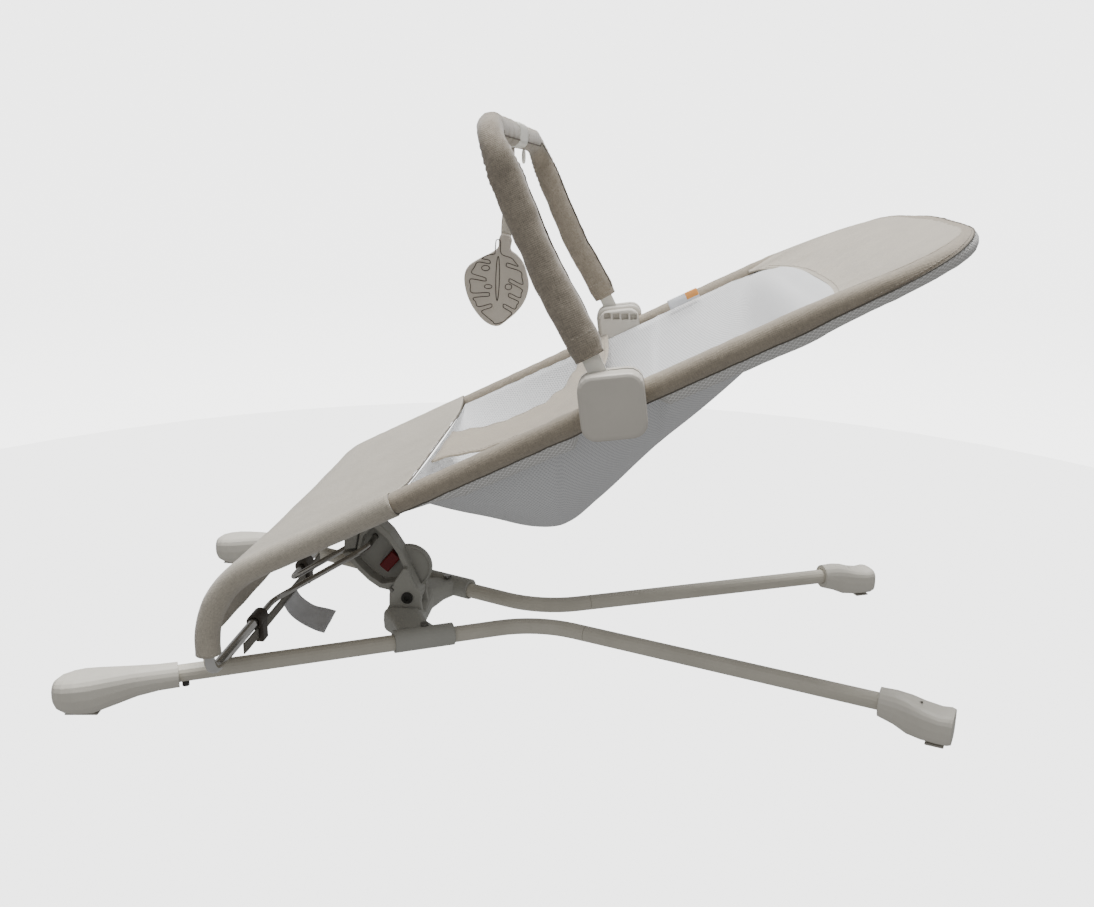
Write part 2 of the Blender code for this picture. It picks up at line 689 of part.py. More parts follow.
def rail(side):
    path = rounded_path(rail_path(side), [FOOT_BEND_R, ELBOW_R], 6)
    obj = tube(f"rail_{side}", path, RAIL_R)
    return dress(obj, (0.78, 0.78, 0.78), 0.12, 1.0)


def bow_corners():
    return [
        on_rail(BOW_SPLIT + GAP, -RAIL_Y),
        on_rail(HEAD_ALONG, -RAIL_Y, -HEAD_DROP),
        on_rail(HEAD_ALONG + HEAD_CROWN, 0.0, -HEAD_DROP),
        on_rail(HEAD_ALONG, RAIL_Y, -HEAD_DROP),
        on_rail(BOW_SPLIT + GAP, RAIL_Y),
    ]


def head_bow():
    path = rounded_path(bow_corners(), [HEAD_CORNER_R, 0.6, HEAD_CORNER_R], 6)
    return dress(tube("head_bow", path, RAIL_R), (0.78, 0.78, 0.78), 0.12, 1.0)


def spring_wire():
    """The sprung wire: out of both collars, up to the arm, and across it."""
    along = Vector((math.cos(WIRE_ANGLE), 0, math.sin(WIRE_ANGLE)))
    foot = Vector((FOOT_X, 0, CROSS_Z))
    corners = []
    for side in ("left", "right"):
        sign = SIDES[side]
        half = [
            foot + Vector((0, sign * (COLLAR_Y - 0.0120), 0)),
            foot + Vector((0, sign * WIRE_HALF_SPAN, 0)),
            foot + Vector((0, sign * WIRE_HALF_SPAN, 0)) + along * WIRE_REACH,
        ]
        corners += half if side == "left" else half[::-1]
    path = rounded_path(corners, [0.010, 0.011, 0.011, 0.010], 4)
    return dress(tube("spring_wire", path, WIRE_R, 3), (0.62, 0.62, 0.62), 0.15, 1.0)


def collar(side):
    """The moulded collar that joins a rail's end to the wire, with its clip for the strap."""
    sign = SIDES[side]
    middle = Vector((FOOT_X, sign * (COLLAR_Y - 0.0030), CROSS_Z))
    obj = cylinder(f"collar_{side}", middle, (0, 1, 0), 0.0078, 0.020, 18)
    clip = block(f"collar_clip_{side}", middle + Vector((0.0035, 0, -0.0115)), (0.0085, 0.0150, 0.0210), rounding=0.0015)
    join(obj, clip)
    cut(obj, block(f"collar_slot_{side}", strap_place(), (0.0018 + 2 * GAP, 0.4, 0.0110 + 2 * GAP)))
    tube_end = middle + Vector((0, sign * 0.0130, 0))
    cut(obj, cylinder(f"collar_rail_bore_{side}", tube_end, (0, 1, 0), RAIL_R + GAP, 0.0220, 16))
    cut(obj, cylinder(f"collar_wire_bore_{side}", middle, (0, 1, 0), WIRE_R + GAP, 0.040, 12))
    return dress(obj, (0.12, 0.10, 0.08), 0.5)


def cover_tube(name, path, radius):
    """A padded fabric sleeve round a frame tube, open at both ends."""
    obj = tube(name, path, radius, 4, capped=False)
    wall = obj.modifiers.new("wall", "SOLIDIFY")
    wall.thickness = radius - RAIL_R - COVER_SLACK
    wall.offset = -1.0
    return baked(obj)


def rail_cover(side):
    corners = rail_path(side)
    corners[0] = on_rail(BOW_SPLIT - 0.002, SIDES[side] * RAIL_Y)
    corners[2] = Vector((FOOT_X, corners[2].y, CROSS_Z + ELBOW_R + 0.004))
    path = rounded_path(corners[:3], [FOOT_BEND_R], 6)
    return dress(cover_tube(f"rail_cover_{side}", path, COVER_R), TAUPE, 0.9)


def head_cover():
    corners = bow_corners()
    corners[0] = on_rail(BOW_SPLIT, -RAIL_Y)
    corners[-1] = on_rail(BOW_SPLIT, RAIL_Y)
    path = rounded_path(corners, [HEAD_CORNER_R, 0.6, HEAD_CORNER_R], 6)
    return dress(cover_tube("head_cover", path, HEAD_COVER_R), TAUPE, 0.9)


def foot_profile(share):
    """The foot panel's profile: along the rails from the seam, then down round the foot bend."""
    straight_end = (FOOT_X - RAIL_REF.x) / math.cos(RAIL_SLOPE)
    corners = [
        on_rail(SEAM_ALONG - 0.001),
        on_rail(straight_end),
        Vector((FOOT_X, 0, CROSS_Z + ELBOW_R + 0.004)),
    ]
    path = rounded_path(corners, [FOOT_BEND_R], 8)
    lengths = [0.0]
    for start, end in zip(path, path[1:]):
        lengths.append(lengths[-1] + (end - start).length)
    target = share * lengths[-1]
    for index in range(len(path) - 1):
        if target <= lengths[index + 1] + 1e-9:
            part = (target - lengths[index]) / (lengths[index + 1] - lengths[index])
            return path[index].lerp(path[index + 1], part)
    return path[-1]


def foot_panel():
    def place(u, v):
        point = foot_profile(u)
        return Vector((point.x, (2 * v - 1) * PANEL_HALF_WIDTH, point.z))

    return dress(sheet("foot_panel", place, 10, 2, FABRIC), (0.66, 0.63, 0.56), 0.9)


def head_panel():
    """The taut fabric between the mesh and the head bow, with the bow's rounded corners."""
    inset = RAIL_Y - PANEL_HALF_WIDTH
    radius = HEAD_CORNER_R - inset
    far = HEAD_ALONG - inset

    def place(u, v):
        y = (2 * v - 1) * PANEL_HALF_WIDTH
        into_corner = max(0.0, abs(y) - (PANEL_HALF_WIDTH - radius))
        end = far - radius + math.sqrt(max(radius**2 - into_corner**2, 0.0))
        end += HEAD_CROWN * (1 - abs(y) / RAIL_Y) - 0.0012
        start = MESH_END_ALONG + 0.002
        along = start + (end - start) * u
        fall = HEAD_DROP * max(0.0, along - BOW_SPLIT) / (HEAD_ALONG - BOW_SPLIT)
        return on_rail(along, y, -fall)

    return dress(sheet("head_panel", place, 4, 14, FABRIC), (0.70, 0.67, 0.61), 0.9)


# The sling's middle line: X and Z from the foot seam to the head end of the mesh
SLING_LINE = (
    (-0.0810, 0.2060), (-0.0790, 0.1850), (-0.0600, 0.1650), (-0.0200, 0.1490), (0.0250, 0.1375), (0.0560, 0.1420),
    (0.0850, 0.1700), (0.1240, 0.2100), (0.1810, 0.2660), (0.2250, 0.3160), (0.2500, 0.3680),
)
POCKET_BESIDE_CLAMP = 0.0050


def sling_pocket():
    """The mesh sling: a deep pocket hung between the rails, open above."""

    def place(u, v):
        target = u * (len(SLING_LINE) - 1)
        index = min(int(target), len(SLING_LINE) - 2)
        part = target - index
        (x_from, z_from), (x_to, z_to) = SLING_LINE[index], SLING_LINE[index + 1]
        middle = Vector((x_from + (x_to - x_from) * part, 0, z_from + (z_to - z_from) * part))
        across = 2 * v - 1
        along = SEAM_ALONG + 0.001 + (MESH_END_ALONG - SEAM_ALONG - 0.001) * (middle.x + 0.081) / 0.331
        half = PANEL_HALF_WIDTH
        if abs(along) < 0.042:
            half -= POCKET_BESIDE_CLAMP
        edge = on_rail(along, across * half)
        share = abs(across) ** 2.2
        return Vector((
            middle.x + (edge.x - middle.x) * share,
            across * half,
            middle.z + (edge.z - middle.z) * share,
        ))

    return dress(sheet("sling_pocket", place, 20, 12, FABRIC), (0.82, 0.83, 0.85), 0.85)


FLAP_EDGE_Y = 0.1825
FLAP_EDGE_RISE = 0.006
# The flap's sag below the rail plane on its middle line: distance along the rail, height above the plane
FLAP_SAG = ((-0.200, -0.0020), (-0.150, -0.0140), (-0.120, -0.0175), (-0.090, -0.0190), (-0.060, -0.0170), (-0.010, -0.0120))


def flap_height(along, y):
    """The flap's height above the rail plane: it sags on its middle line and rises to the clamps."""
    sag = FLAP_SAG[-1][1]
    for (start, low), (end, high) in zip(FLAP_SAG, FLAP_SAG[1:]):
        if start <= along <= end:
            sag = low + (high - low) * (along - start) / (end - start)
    share = min(abs(y) / FLAP_EDGE_Y, 1.0) ** 3
    return sag * (1 - share) + FLAP_EDGE_RISE * share


def restraint_flap():
    """The crotch flap: a strip from the foot seam that sags and widens into wings fixed beside the clamps."""
    half = [
        (SEAM_ALONG + 0.006, 0.060), (-0.150, 0.056), (-0.105, 0.060), (-0.075, 0.085),
        (-0.055, 0.130), (-0.044, FLAP_EDGE_Y), (-0.010, FLAP_EDGE_Y), (-0.014, 0.120), (-0.026, 0.060), (-0.030, 0.0),
    ]
    outline = half + [(along, -y) for along, y in reversed(half[:-1])]
    bm = bmesh.new()
    bm.faces.new([bm.verts.new((along, y, 0.0)) for along, y in outline])
    for along in (-0.170, -0.150, -0.120, -0.090, -0.060, -0.035):
        cut_flat(bm, (along, 0, 0), (1, 0, 0))
    for y in (-0.150, -0.120, -0.090, -0.060, -0.030, 0.0, 0.030, 0.060, 0.090, 0.120, 0.150):
        cut_flat(bm, (0, y, 0), (0, 1, 0))
    bmesh.ops.triangulate(bm, faces=bm.faces)
    for vertex in bm.verts:
        vertex.co = on_rail(vertex.co.x, vertex.co.y, flap_height(vertex.co.x, vertex.co.y))
    mesh = bpy.data.meshes.new("restraint_flap")
    bm.to_mesh(mesh)
    bm.free()
    obj = add_object("restraint_flap", mesh)
    solidify = obj.modifiers.new("thickness", "SOLIDIFY")
    solidify.thickness = FABRIC
    solidify.offset = 0.0
    return dress(baked(obj), TAUPE, 0.9)


def cut_flat(bm, place, direction):
    """Splits the flat outline's faces along a line, without removing any."""
    everything = bm.verts[:] + bm.edges[:] + bm.faces[:]
    bmesh.ops.bisect_plane(bm, geom=everything, dist=1e-6, plane_co=place, plane_no=direction)


def mesh_band(side):
    """The air-mesh roll that hangs under a rail cover, beside the sling, as far as the clamp."""
    y = SIDES[side] * (RAIL_Y - 0.001)
    path = [on_rail(SEAM_ALONG + 0.05, y, -0.0148), on_rail(-0.035, y, -0.0148)]
    return dress(tube(f"mesh_band_{side}", path, 0.0046, 2), (0.60, 0.60, 0.60), 0.9)


STRAP_LENGTH = 0.250


def strap_place():
    return Vector((FOOT_X + 0.0025, 0.0, CROSS_Z - 0.0115))


def strap():
    """The webbing strap that closes the cover under the foot end."""
    obj = block("foot_strap", strap_place(), (0.0018, STRAP_LENGTH, 0.0110))
    return dress(obj, (0.30, 0.29, 0.25), 0.9)


def care_label():
    obj = tube_strip(
        "care_label",
        [(-0.2460, 0.0330), (-0.2400, 0.0230), (-0.2260, 0.0130), (-0.2040, 0.0060)],
        -0.012,
        0.030,
        0.0012,
    )
    return dress(obj, (0.85, 0.85, 0.88), 0.8)


def tube_strip(name, profile, low_y, high_y, thickness):
    """A flat strip: an XZ profile drawn across from low_y to high_y."""
    points = [Vector((x, 0, z)) for x, z in profile]

    def place(u, v):
        target = u * (len(points) - 1)
        index = min(int(target), len(points) - 2)
        point = points[index].lerp(points[index + 1], target - index)
        return Vector((point.x, low_y + (high_y - low_y) * v, point.z))

    return sheet(name, place, len(points) - 1, 1, thickness)


def side_label():
    middle = on_rail(0.085, RAIL_Y - 0.0150, 0.0065)
    obj = block("side_label", middle, (0.034, 0.0030, 0.010), turn_y=-RAIL_SLOPE)
    return dress(obj, (0.88, 0.86, 0.82), 0.8)


def clamp_outer(side):
    """The outer half of a toy-bar clamp: a rounded plate, grooved for the rail and slotted for the tab."""
    sign = SIDES[side]
    middle = Vector((BAR_PIVOT.x, sign * 0.2160, BAR_PIVOT.z))
    size = (CLAMP_SIZE, 0.0340, CLAMP_SIZE)
    obj = block(f"clamp_outer_{side}", middle, size, turn_y=CLAMP_TILT)
    soften(obj, 0.0120, 0.0030)
    cut(obj, rail_groove(f"clamp_outer_groove_{side}", side))
    slot = block(
        f"clamp_slot_{side}", Vector((BAR_PIVOT.x, sign * TAB_Y, BAR_PIVOT.z + 0.0190)), (0.080, 0.0046, 0.060)
    )
    cut(obj, slot)
    cut(obj, cylinder(f"clamp_pin_hole_{side}", bar_pin_place(side), (0, 1, 0), PIN_R + GAP, PIN_LENGTH + 2 * GAP, 12))
    return dress(obj, CREAM, 0.45)


TAB_Y = 0.2118
TAB_THICKNESS = 0.0032
PIN_R = 0.0024
PIN_LENGTH = 0.0096
PIN_OFFSET = 0.0010


def bar_pin_place(side):
    return Vector((BAR_PIVOT.x, SIDES[side] * (TAB_Y + PIN_OFFSET), BAR_PIVOT.z))


def soften(obj, corner, edge):
    """Rounds a plate's four corners seen from the side, then all its edges a little."""
    bm = bmesh.new()
    bm.from_mesh(obj.data)
    across = [edge_ for edge_ in bm.edges if abs(edge_.verts[0].co.y - edge_.verts[1].co.y) > 0.01]
    bmesh.ops.bevel(bm, geom=across, offset=corner, segments=4, affect="EDGES", profile=0.5)
    faces = [face for face in bm.faces if abs(face.normal.y) > 0.9]
    rims = {edge_ for face in faces for edge_ in face.edges}
    bmesh.ops.bevel(bm, geom=list(rims), offset=edge, segments=2, affect="EDGES", profile=0.5)
    bm.to_mesh(obj.data)
    bm.free()


def rail_groove(name, side):
    y = SIDES[side] * RAIL_Y
    along = on_rail(1.0) - on_rail(0.0)
    centre = on_rail(0.0, y) + along * ((BAR_PIVOT.x - RAIL_REF.x) / math.cos(RAIL_SLOPE))
    return cylinder(name, centre, along, COVER_R + GAP, 0.12, 24)


def clamp_inner(side):
    """The inner half of the clamp, with its ribbed pockets."""
    sign = SIDES[side]
    middle = Vector((BAR_PIVOT.x, sign * 0.1910, BAR_PIVOT.z))
    obj = block(f"clamp_inner_{side}", middle, (0.046, 0.0152, 0.046), turn_y=CLAMP_TILT)
    soften(obj, 0.0110, 0.0020)
    cut(obj, rail_groove(f"clamp_inner_groove_{side}", side))
    for column in range(4):
        x = -0.0150 + column * 0.0100
        pocket = block(
            f"clamp_pocket_{side}_{column}",
            middle + Vector((x, -sign * 0.0075, 0.0160)),
            (0.0075, 0.0090, 0.0065),
            turn_y=CLAMP_TILT,
        )
        cut(obj, pocket)
    return dress(obj, CREAM, 0.5)


def bar_points(side):
    """The toy bar's middle line on one side, from the tab up to the joint on the middle."""
    sign = SIDES[side]
    splay = (0.0120, 0.0090, 0.0040, 0.0010, 0.0)
    low = [Vector((x, sign * (BAR_HALF_WIDTH + out), z)) for (x, z), out in zip(BAR_PROFILE, splay)]
    top_x, top_z = BAR_PROFILE[-1]
    corners = low + [Vector((top_x, sign * BAR_HALF_WIDTH, top_z)), Vector((top_x, sign * JOINT_HALF_LENGTH, top_z))]
    path = [corners[0], *low[1:-1]]
    path += rounded_path(corners[len(low) - 1:], [BAR_CORNER_R], 6)
    return path


def bar_tab(side):
    """The flat tab that carries one end of the bar and turns in its clamp."""
    sign = SIDES[side]
    top = Vector((BAR_PROFILE[0][0], 0, BAR_PROFILE[0][1]))
    foot = Vector((BAR_PIVOT.x, 0, BAR_PIVOT.z))
    line = (top - foot).normalized()
    side_way = Vector((line.z, 0, -line.x))
    length = (top - foot).length + 0.006
    half = 0.0072
    outline = [foot + side_way * half, foot + side_way * half + line * length]
    outline += [foot - side_way * half + line * length, foot - side_way * half]
    outline += [foot - side_way * half * 0.7 - line * half * 0.7, foot - line * half, foot + side_way * half * 0.7 - line * half * 0.7]
    points = [(point.x, point.z) for point in outline]
    obj = plate(f"bar_tab_{side}", [points], sign * TAB_Y - TAB_THICKNESS / 2, sign * TAB_Y + TAB_THICKNESS / 2)
    join(obj, cylinder(f"bar_pin_{side}", bar_pin_place(side), (0, 1, 0), PIN_R, PIN_LENGTH, 12))
    return dress(obj, CREAM, 0.45)


def bar_core(side):
    """The flexible strip inside one sleeve, from above the tab to the joint."""
    points = bar_points(side)
    points[0] = points[0] + (points[1] - points[0]).normalized() * 0.0100
    points[-1] = points[-1] + Vector((0, SIDES[side] * 0.0010, 0))
    return dress(tube(f"bar_core_{side}", points, 0.0030, 2), (0.7, 0.7, 0.68), 0.4)


def flat_tube(name, points, sizes, wall):
    """A flat sleeve along the points, with half its width and half its thickness at each, open at both ends."""
    bm = bmesh.new()
    rings = []
    count = 14
    for index, point in enumerate(points):
        ahead = (points[min(index + 1, len(points) - 1)] - points[max(index - 1, 0)]).normalized()
        across = Vector((0, 1, 0)).cross(ahead)
        if across.length < 0.2:
            across = Vector((1, 0, 0))
        across = (across - ahead * across.dot(ahead)).normalized()
        if across.x < 0:
            across = -across
        up = ahead.cross(across)
        half_wide, half_thick = sizes[index]
        ring = bmesh.ops.create_circle(bm, cap_ends=False, radius=1.0, segments=count)["verts"]
        for step, vertex in enumerate(ring):
            angle = 2 * math.pi * step / count
            vertex.co = point + across * math.cos(angle) * half_wide + up * math.sin(angle) * half_thick
        rings.append(ring)
    for lower, upper in zip(rings, rings[1:]):
        for index in range(count):
            after = (index + 1) % count
            bm.faces.new((lower[index], lower[after], upper[after], upper[index]))
    bmesh.ops.recalc_face_normals(bm, faces=bm.faces)
    mesh = bpy.data.meshes.new(name)
    bm.to_mesh(mesh)
    bm.free()
    obj = add_object(name, mesh)
    solidify = obj.modifiers.new("wall", "SOLIDIFY")
    solidify.thickness = wall
    solidify.offset = -1.0
    return baked(obj)


def bar_sleeve(side):
    points = bar_points(side)
    points[-1] = points[-1] + Vector((0, SIDES[side] * GAP, 0))
    sizes = []
    for point in points:
        share = min(max((point.z - 0.478) / (BAR_PROFILE[-1][1] - 0.478), 0.0), 1.0)
        wide = SLEEVE_HALF_WIDE + (CROSS_HALF_WIDE - SLEEVE_HALF_WIDE) * share
        thick = SLEEVE_HALF_THICK + (CROSS_HALF_THICK - SLEEVE_HALF_THICK) * share
        sizes.append((wide, thick))
    obj = flat_tube(f"bar_sleeve_{side}", points, sizes, 0.0042)
    return dress(obj, TAUPE, 0.9)


def bar_joint():
    """The moulded joint at the top middle, between the two sleeves."""
    x, z = BAR_PROFILE[-1]
    obj = block("bar_joint", Vector((x, 0, z)), (0.0196, 2 * JOINT_HALF_LENGTH - GAP, 0.0226), rounding=0.006, segments=3)
    return dress(obj, CREAM, 0.45)


def toy_ring():
    """The small ring moulded under the joint."""
    x, z = BAR_PROFILE[-1]
    z -= CROSS_HALF_THICK + 0.0005 + 0.0069
    bpy.ops.mesh.primitive_torus_add(
        major_segments=16, minor_segments=8, major_radius=0.0055, minor_radius=0.0014,
        location=(x + 0.0060, 0.026, z), rotation=(0, math.pi / 2, 0),
    )
    obj = bpy.context.object
    obj.name = "toy_ring"
    for collection in list(obj.users_collection):
        collection.objects.unlink(obj)
    PARTS.objects.link(obj)
    return dress(obj, CREAM, 0.4)


def toy_ribbon():
    """The ribbon that the leaf hangs by, from under the sleeve to the leaf's stem."""
    x, z = BAR_PROFILE[-1]
    top = z - CROSS_HALF_THICK - 0.001
    points = [(x - 0.0045, top), (x + 0.0045, top), (x + 0.0009, TOY_TOP_Z - 0.006), (x - 0.0081, TOY_TOP_Z - 0.006)]
    obj = plate("toy_ribbon", [points], TOY_Y + 0.0016, TOY_Y + 0.0026)
    return dress(obj, (0.85, 0.82, 0.74), 0.8)


def leaf_toy():
    """The flat leaf-shaped toy: a stem tab over a broad pointed leaf."""
    x = BAR_PROFILE[-1][0] - 0.0036
    z = TOY_TOP_Z
    right = [
        (0.0045, -0.0015), (0.0060, -0.0060), (0.0050, -0.0140), (0.0110, -0.0190), (0.0165, -0.0260),
        (0.0200, -0.0360), (0.0217, -0.0470), (0.0190, -0.0590), (0.0120, -0.0700), (0.0010, -0.0800),
    ]
    left = [
        (-0.0080, -0.0855), (-0.0190, -0.0820), (-0.0300, -0.0700), (-0.0370, -0.0550), (-0.0390, -0.0400),
        (-0.0350, -0.0300), (-0.0250, -0.0230), (-0.0130, -0.0170), (-0.0070, -0.0120), (-0.0060, -0.0040),
        (-0.0030, 0.0),
    ]
    points = [(x + px, z + pz) for px, pz in right + left]
    obj = plate("leaf_toy", [points], TOY_Y - 0.0012, TOY_Y + 0.0012, 0.0004)
    return dress(obj, (0.80, 0.77, 0.70), 0.6)


def joint_axis(name, place, parent=None):
    """An empty on a joint's axis, which the pieces that turn about it hang from."""
    empty = add_object(name, None)
    empty.empty_display_size = 0.02
    empty.location = place
    bpy.context.view_layer.update()
    if parent:
        hang(empty, parent)
    return empty


def hang(obj, parent):
    obj.parent = parent
    obj.matrix_parent_inverse = parent.matrix_world.inverted()
    bpy.context.view_layer.update()


def hang_all():
    recline = joint_axis("recline_axis", PIVOT)
    bounce = joint_axis("bounce_axis", WIRE_END, recline)
    bar = joint_axis("bar_axis", BAR_PIVOT, bounce)
    toy = joint_axis("toy_axis", Vector((BAR_PROFILE[-1][0], TOY_Y, BAR_PROFILE[-1][1])), bar)
    for obj in list(PARTS.objects):
        if obj.type != "MESH":
            continue
        if obj.name.startswith(("arm_", "wire_clamp", "clamp_screw", "latch_")):
            hang(obj, recline)
        elif obj.name.startswith(("leaf_", "toy_ribbon")):
            hang(obj, toy)
        elif obj.name.startswith(("bar_", "toy_ring")):
            hang(obj, bar)
        elif not obj.name.startswith(BASE_NAMES):
            hang(obj, bounce)


BASE_NAMES = ("base_", "rear_", "tube_", "front_", "foot_button", "hub_", "pivot_", "stop_pin")


def build():
    for side in SIDES:
        base_tube(side)
        rear_tube(side)
        tube_spigot(side)
        front_foot(side)
        front_pad(side)
        front_button(side)
        rear_foot(side)
        rear_pad(side)
        hub_screw(side)
        rail(side)
        collar(side)
        rail_cover(side)
        mesh_band(side)
        clamp_outer(side)
        clamp_inner(side)
        bar_tab(side)
        bar_core(side)
        bar_sleeve(side)
    hub_saddle()
    pivot_bolt()
    pivot_nut()
    stop_pin()
    arm_shell()
    wire_clamp()
    clamp_screw(0)
    clamp_screw(1)
    latch_button()
    spring_wire()
    head_bow()
    head_cover()
    foot_panel()
    head_panel()
    sling_pocket()
    restraint_flap()
    strap()
    care_label()
    side_label()
    bar_joint()
    toy_ring()
    toy_ribbon()
    leaf_toy()
    hang_all()


build()
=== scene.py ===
"""Looks of the baby bouncer seat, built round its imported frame.

Frame, metres: +X from the foot end to the head end, +Y to the far side, +Z up, floor at Z = 0.
"""

import math

import bmesh
import bpy
from mathutils import Matrix, Vector, noise


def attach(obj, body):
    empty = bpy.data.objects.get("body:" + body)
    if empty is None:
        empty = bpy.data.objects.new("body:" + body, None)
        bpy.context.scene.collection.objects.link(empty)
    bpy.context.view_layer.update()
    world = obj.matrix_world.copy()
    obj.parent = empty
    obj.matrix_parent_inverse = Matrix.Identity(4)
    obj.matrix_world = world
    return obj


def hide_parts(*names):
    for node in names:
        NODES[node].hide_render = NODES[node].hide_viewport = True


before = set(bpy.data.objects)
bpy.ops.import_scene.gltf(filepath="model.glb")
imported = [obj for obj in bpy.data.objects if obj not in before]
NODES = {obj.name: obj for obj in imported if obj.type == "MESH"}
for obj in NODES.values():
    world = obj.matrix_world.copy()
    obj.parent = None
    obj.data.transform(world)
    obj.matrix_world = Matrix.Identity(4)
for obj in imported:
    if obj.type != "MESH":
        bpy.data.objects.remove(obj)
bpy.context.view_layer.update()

# Seat frame, as in the CAD
RAIL_Y = 0.198
RAIL_SLOPE = math.radians(26.2)
RAIL_REF = Vector((0.096, 0.0, 0.297))
HEAD_ALONG = 0.309
HEAD_DROP = 0.007
HEAD_CROWN = 0.013
HEAD_CORNER_R = 0.088
BOW_SPLIT = 0.19
FOOT_X = -0.251
COVER_END_Z = 0.0655
FOOT_BEND_R = 0.085
COVER_R = 0.0096
HEAD_COVER_R = 0.0088
SEAM_ALONG = -0.1995
PANEL_HALF_WIDTH = 0.1868
CLAMP_ALONG = 0.0028
CLAMP_REACH = 0.033

# Toy bar, as in the CAD
BAR_PROFILE = (
    (0.08, 0.339), (0.063, 0.3705), (0.0425, 0.4065),
    (0.024, 0.447), (0.0095, 0.48), (-0.003, 0.511),
)
BAR_SPLAY = (0.012, 0.009, 0.004, 0.001, 0.0)
BAR_HALF_WIDTH = 0.2
BAR_CORNER_R = 0.034
JOINT_HALF_LENGTH = 0.032
TOY_Y = -0.04
TOY_TOP = Vector((-0.0066, -0.04, 0.4227))

FLAP_COLOUR = (0.42, 0.365, 0.285)
# The rim's taupe cloth is a little darker than the panel, and is darkened well beyond that as painted shade
# for the seat's shaded sides
RIM_COLOUR_WITH_SHADE = (0.33, 0.285, 0.222)
HEAD_COLOUR = (0.47, 0.425, 0.35)
PANEL_COLOUR = (0.46, 0.418, 0.345)
# The sleeves' cloth is a little darker than the seat's, and is darkened well beyond that as painted shade for
# the bar's shaded sides
SLEEVE_COLOUR_WITH_SHADE = (0.29, 0.25, 0.198)

# Pitch and length of the rows of stitches, and the thread's radius
RIM_STITCH = (0.0042, 0.0028)
HEM_STITCH = (0.004, 0.0027)
SLEEVE_STITCH = (0.0036, 0.0025)
THREAD_R = 0.00028
PIPING_SIDES = 6

CAMERA_PLACE = Vector((0.11063, -1.01874, 0.47631))
CAMERA_YAW = math.radians(-4.502)
CAMERA_PITCH = math.radians(14.921)
CAMERA_ROLL = math.radians(0.585)
CAMERA_LENS = 34.55
WORLD_LIGHT = 0.36
FLOOR_GLOW = 3.6


def on_rail(along, y=0.0, above=0.0):
    """A point by its distance along the rail from RAIL_REF, its Y and its height above the rail plane."""
    cos, sin = math.cos(RAIL_SLOPE), math.sin(RAIL_SLOPE)
    return Vector((RAIL_REF.x + along * cos - above * sin, y, RAIL_REF.z + along * sin + above * cos))


def along_of(point):
    return (point.x - RAIL_REF.x) * math.cos(RAIL_SLOPE) + (point.z - RAIL_REF.z) * math.sin(RAIL_SLOPE)


def between(value, table):
    """The value of a table of (place, value) pairs at a place, straight between its rows."""
    if value <= table[0][0]:
        return table[0][1]
    for (start, low), (end, high) in zip(table, table[1:]):
        if value <= end:
            return low + (high - low) * (value - start) / (end - start)
    return table[-1][1]


def smooth(value):
    value = min(max(value, 0.0), 1.0)
    return value * value * (3 - 2 * value)


def rounded_path(corners, radii, steps):
    """The corners as a path whose inner corners are arcs of the given radii."""
    path = [corners[0]]
    for index, radius in enumerate(radii, start=1):
        corner = corners[index]
        before = (corners[index - 1] - corner).normalized()
        after = (corners[index + 1] - corner).normalized()
        half = before.angle(after) / 2
        centre = corner + (before + after).normalized() * radius / math.sin(half)
        start = corner + before * radius / math.tan(half) - centre
        end = corner + after * radius / math.tan(half) - centre
        turn = start.angle(end)
        for step in range(steps + 1):
            share = step / steps
            arm = start * math.sin((1 - share) * turn) + end * math.sin(share * turn)
            path.append(centre + arm / math.sin(turn))
    path.append(corners[-1])
    return path


def resampled(path, count):
    """The path as count + 1 points at even distances."""
    lengths = [0.0]
    for start, end in zip(path, path[1:]):
        lengths.append(lengths[-1] + (end - start).length)
    points = []
    index = 0
    for step in range(count + 1):
        target = lengths[-1] * step / count
        while index < len(path) - 2 and lengths[index + 1] < target:
            index += 1
        span = lengths[index + 1] - lengths[index]
        share = (target - lengths[index]) / span if span else 0.0
        points.append(path[index].lerp(path[index + 1], share))
    return points


def spline_through(points, steps):
    """A Catmull-Rom line through the points, with steps pieces between each pair."""
    line = []
    for index in range(len(points) - 1):
        a = points[max(index - 1, 0)]
        b, c = points[index], points[index + 1]
        d = points[min(index + 2, len(points) - 1)]
        for step in range(steps):
            t = step / steps
            square = (a * 2 - b * 5 + c * 4 - d) * t**2
            cube = (b * 3 - a - c * 3 + d) * t**3
            line.append((b * 2 + (c - a) * t + square + cube) / 2)
    line.append(points[-1])
    return line


def heading(path, index):
    """The direction of a path at one of its points."""
    return (path[min(index + 1, len(path) - 1)] - path[max(index - 1, 0)]).normalized()


def ripple(point, scale, amount, seed=0.0):
    """Smooth random height for cloth: the same at the same place each time."""
    return noise.noise(point * scale + Vector((seed, seed * 0.37, -seed))) * amount


# ---------------------------------------------------------------- materials


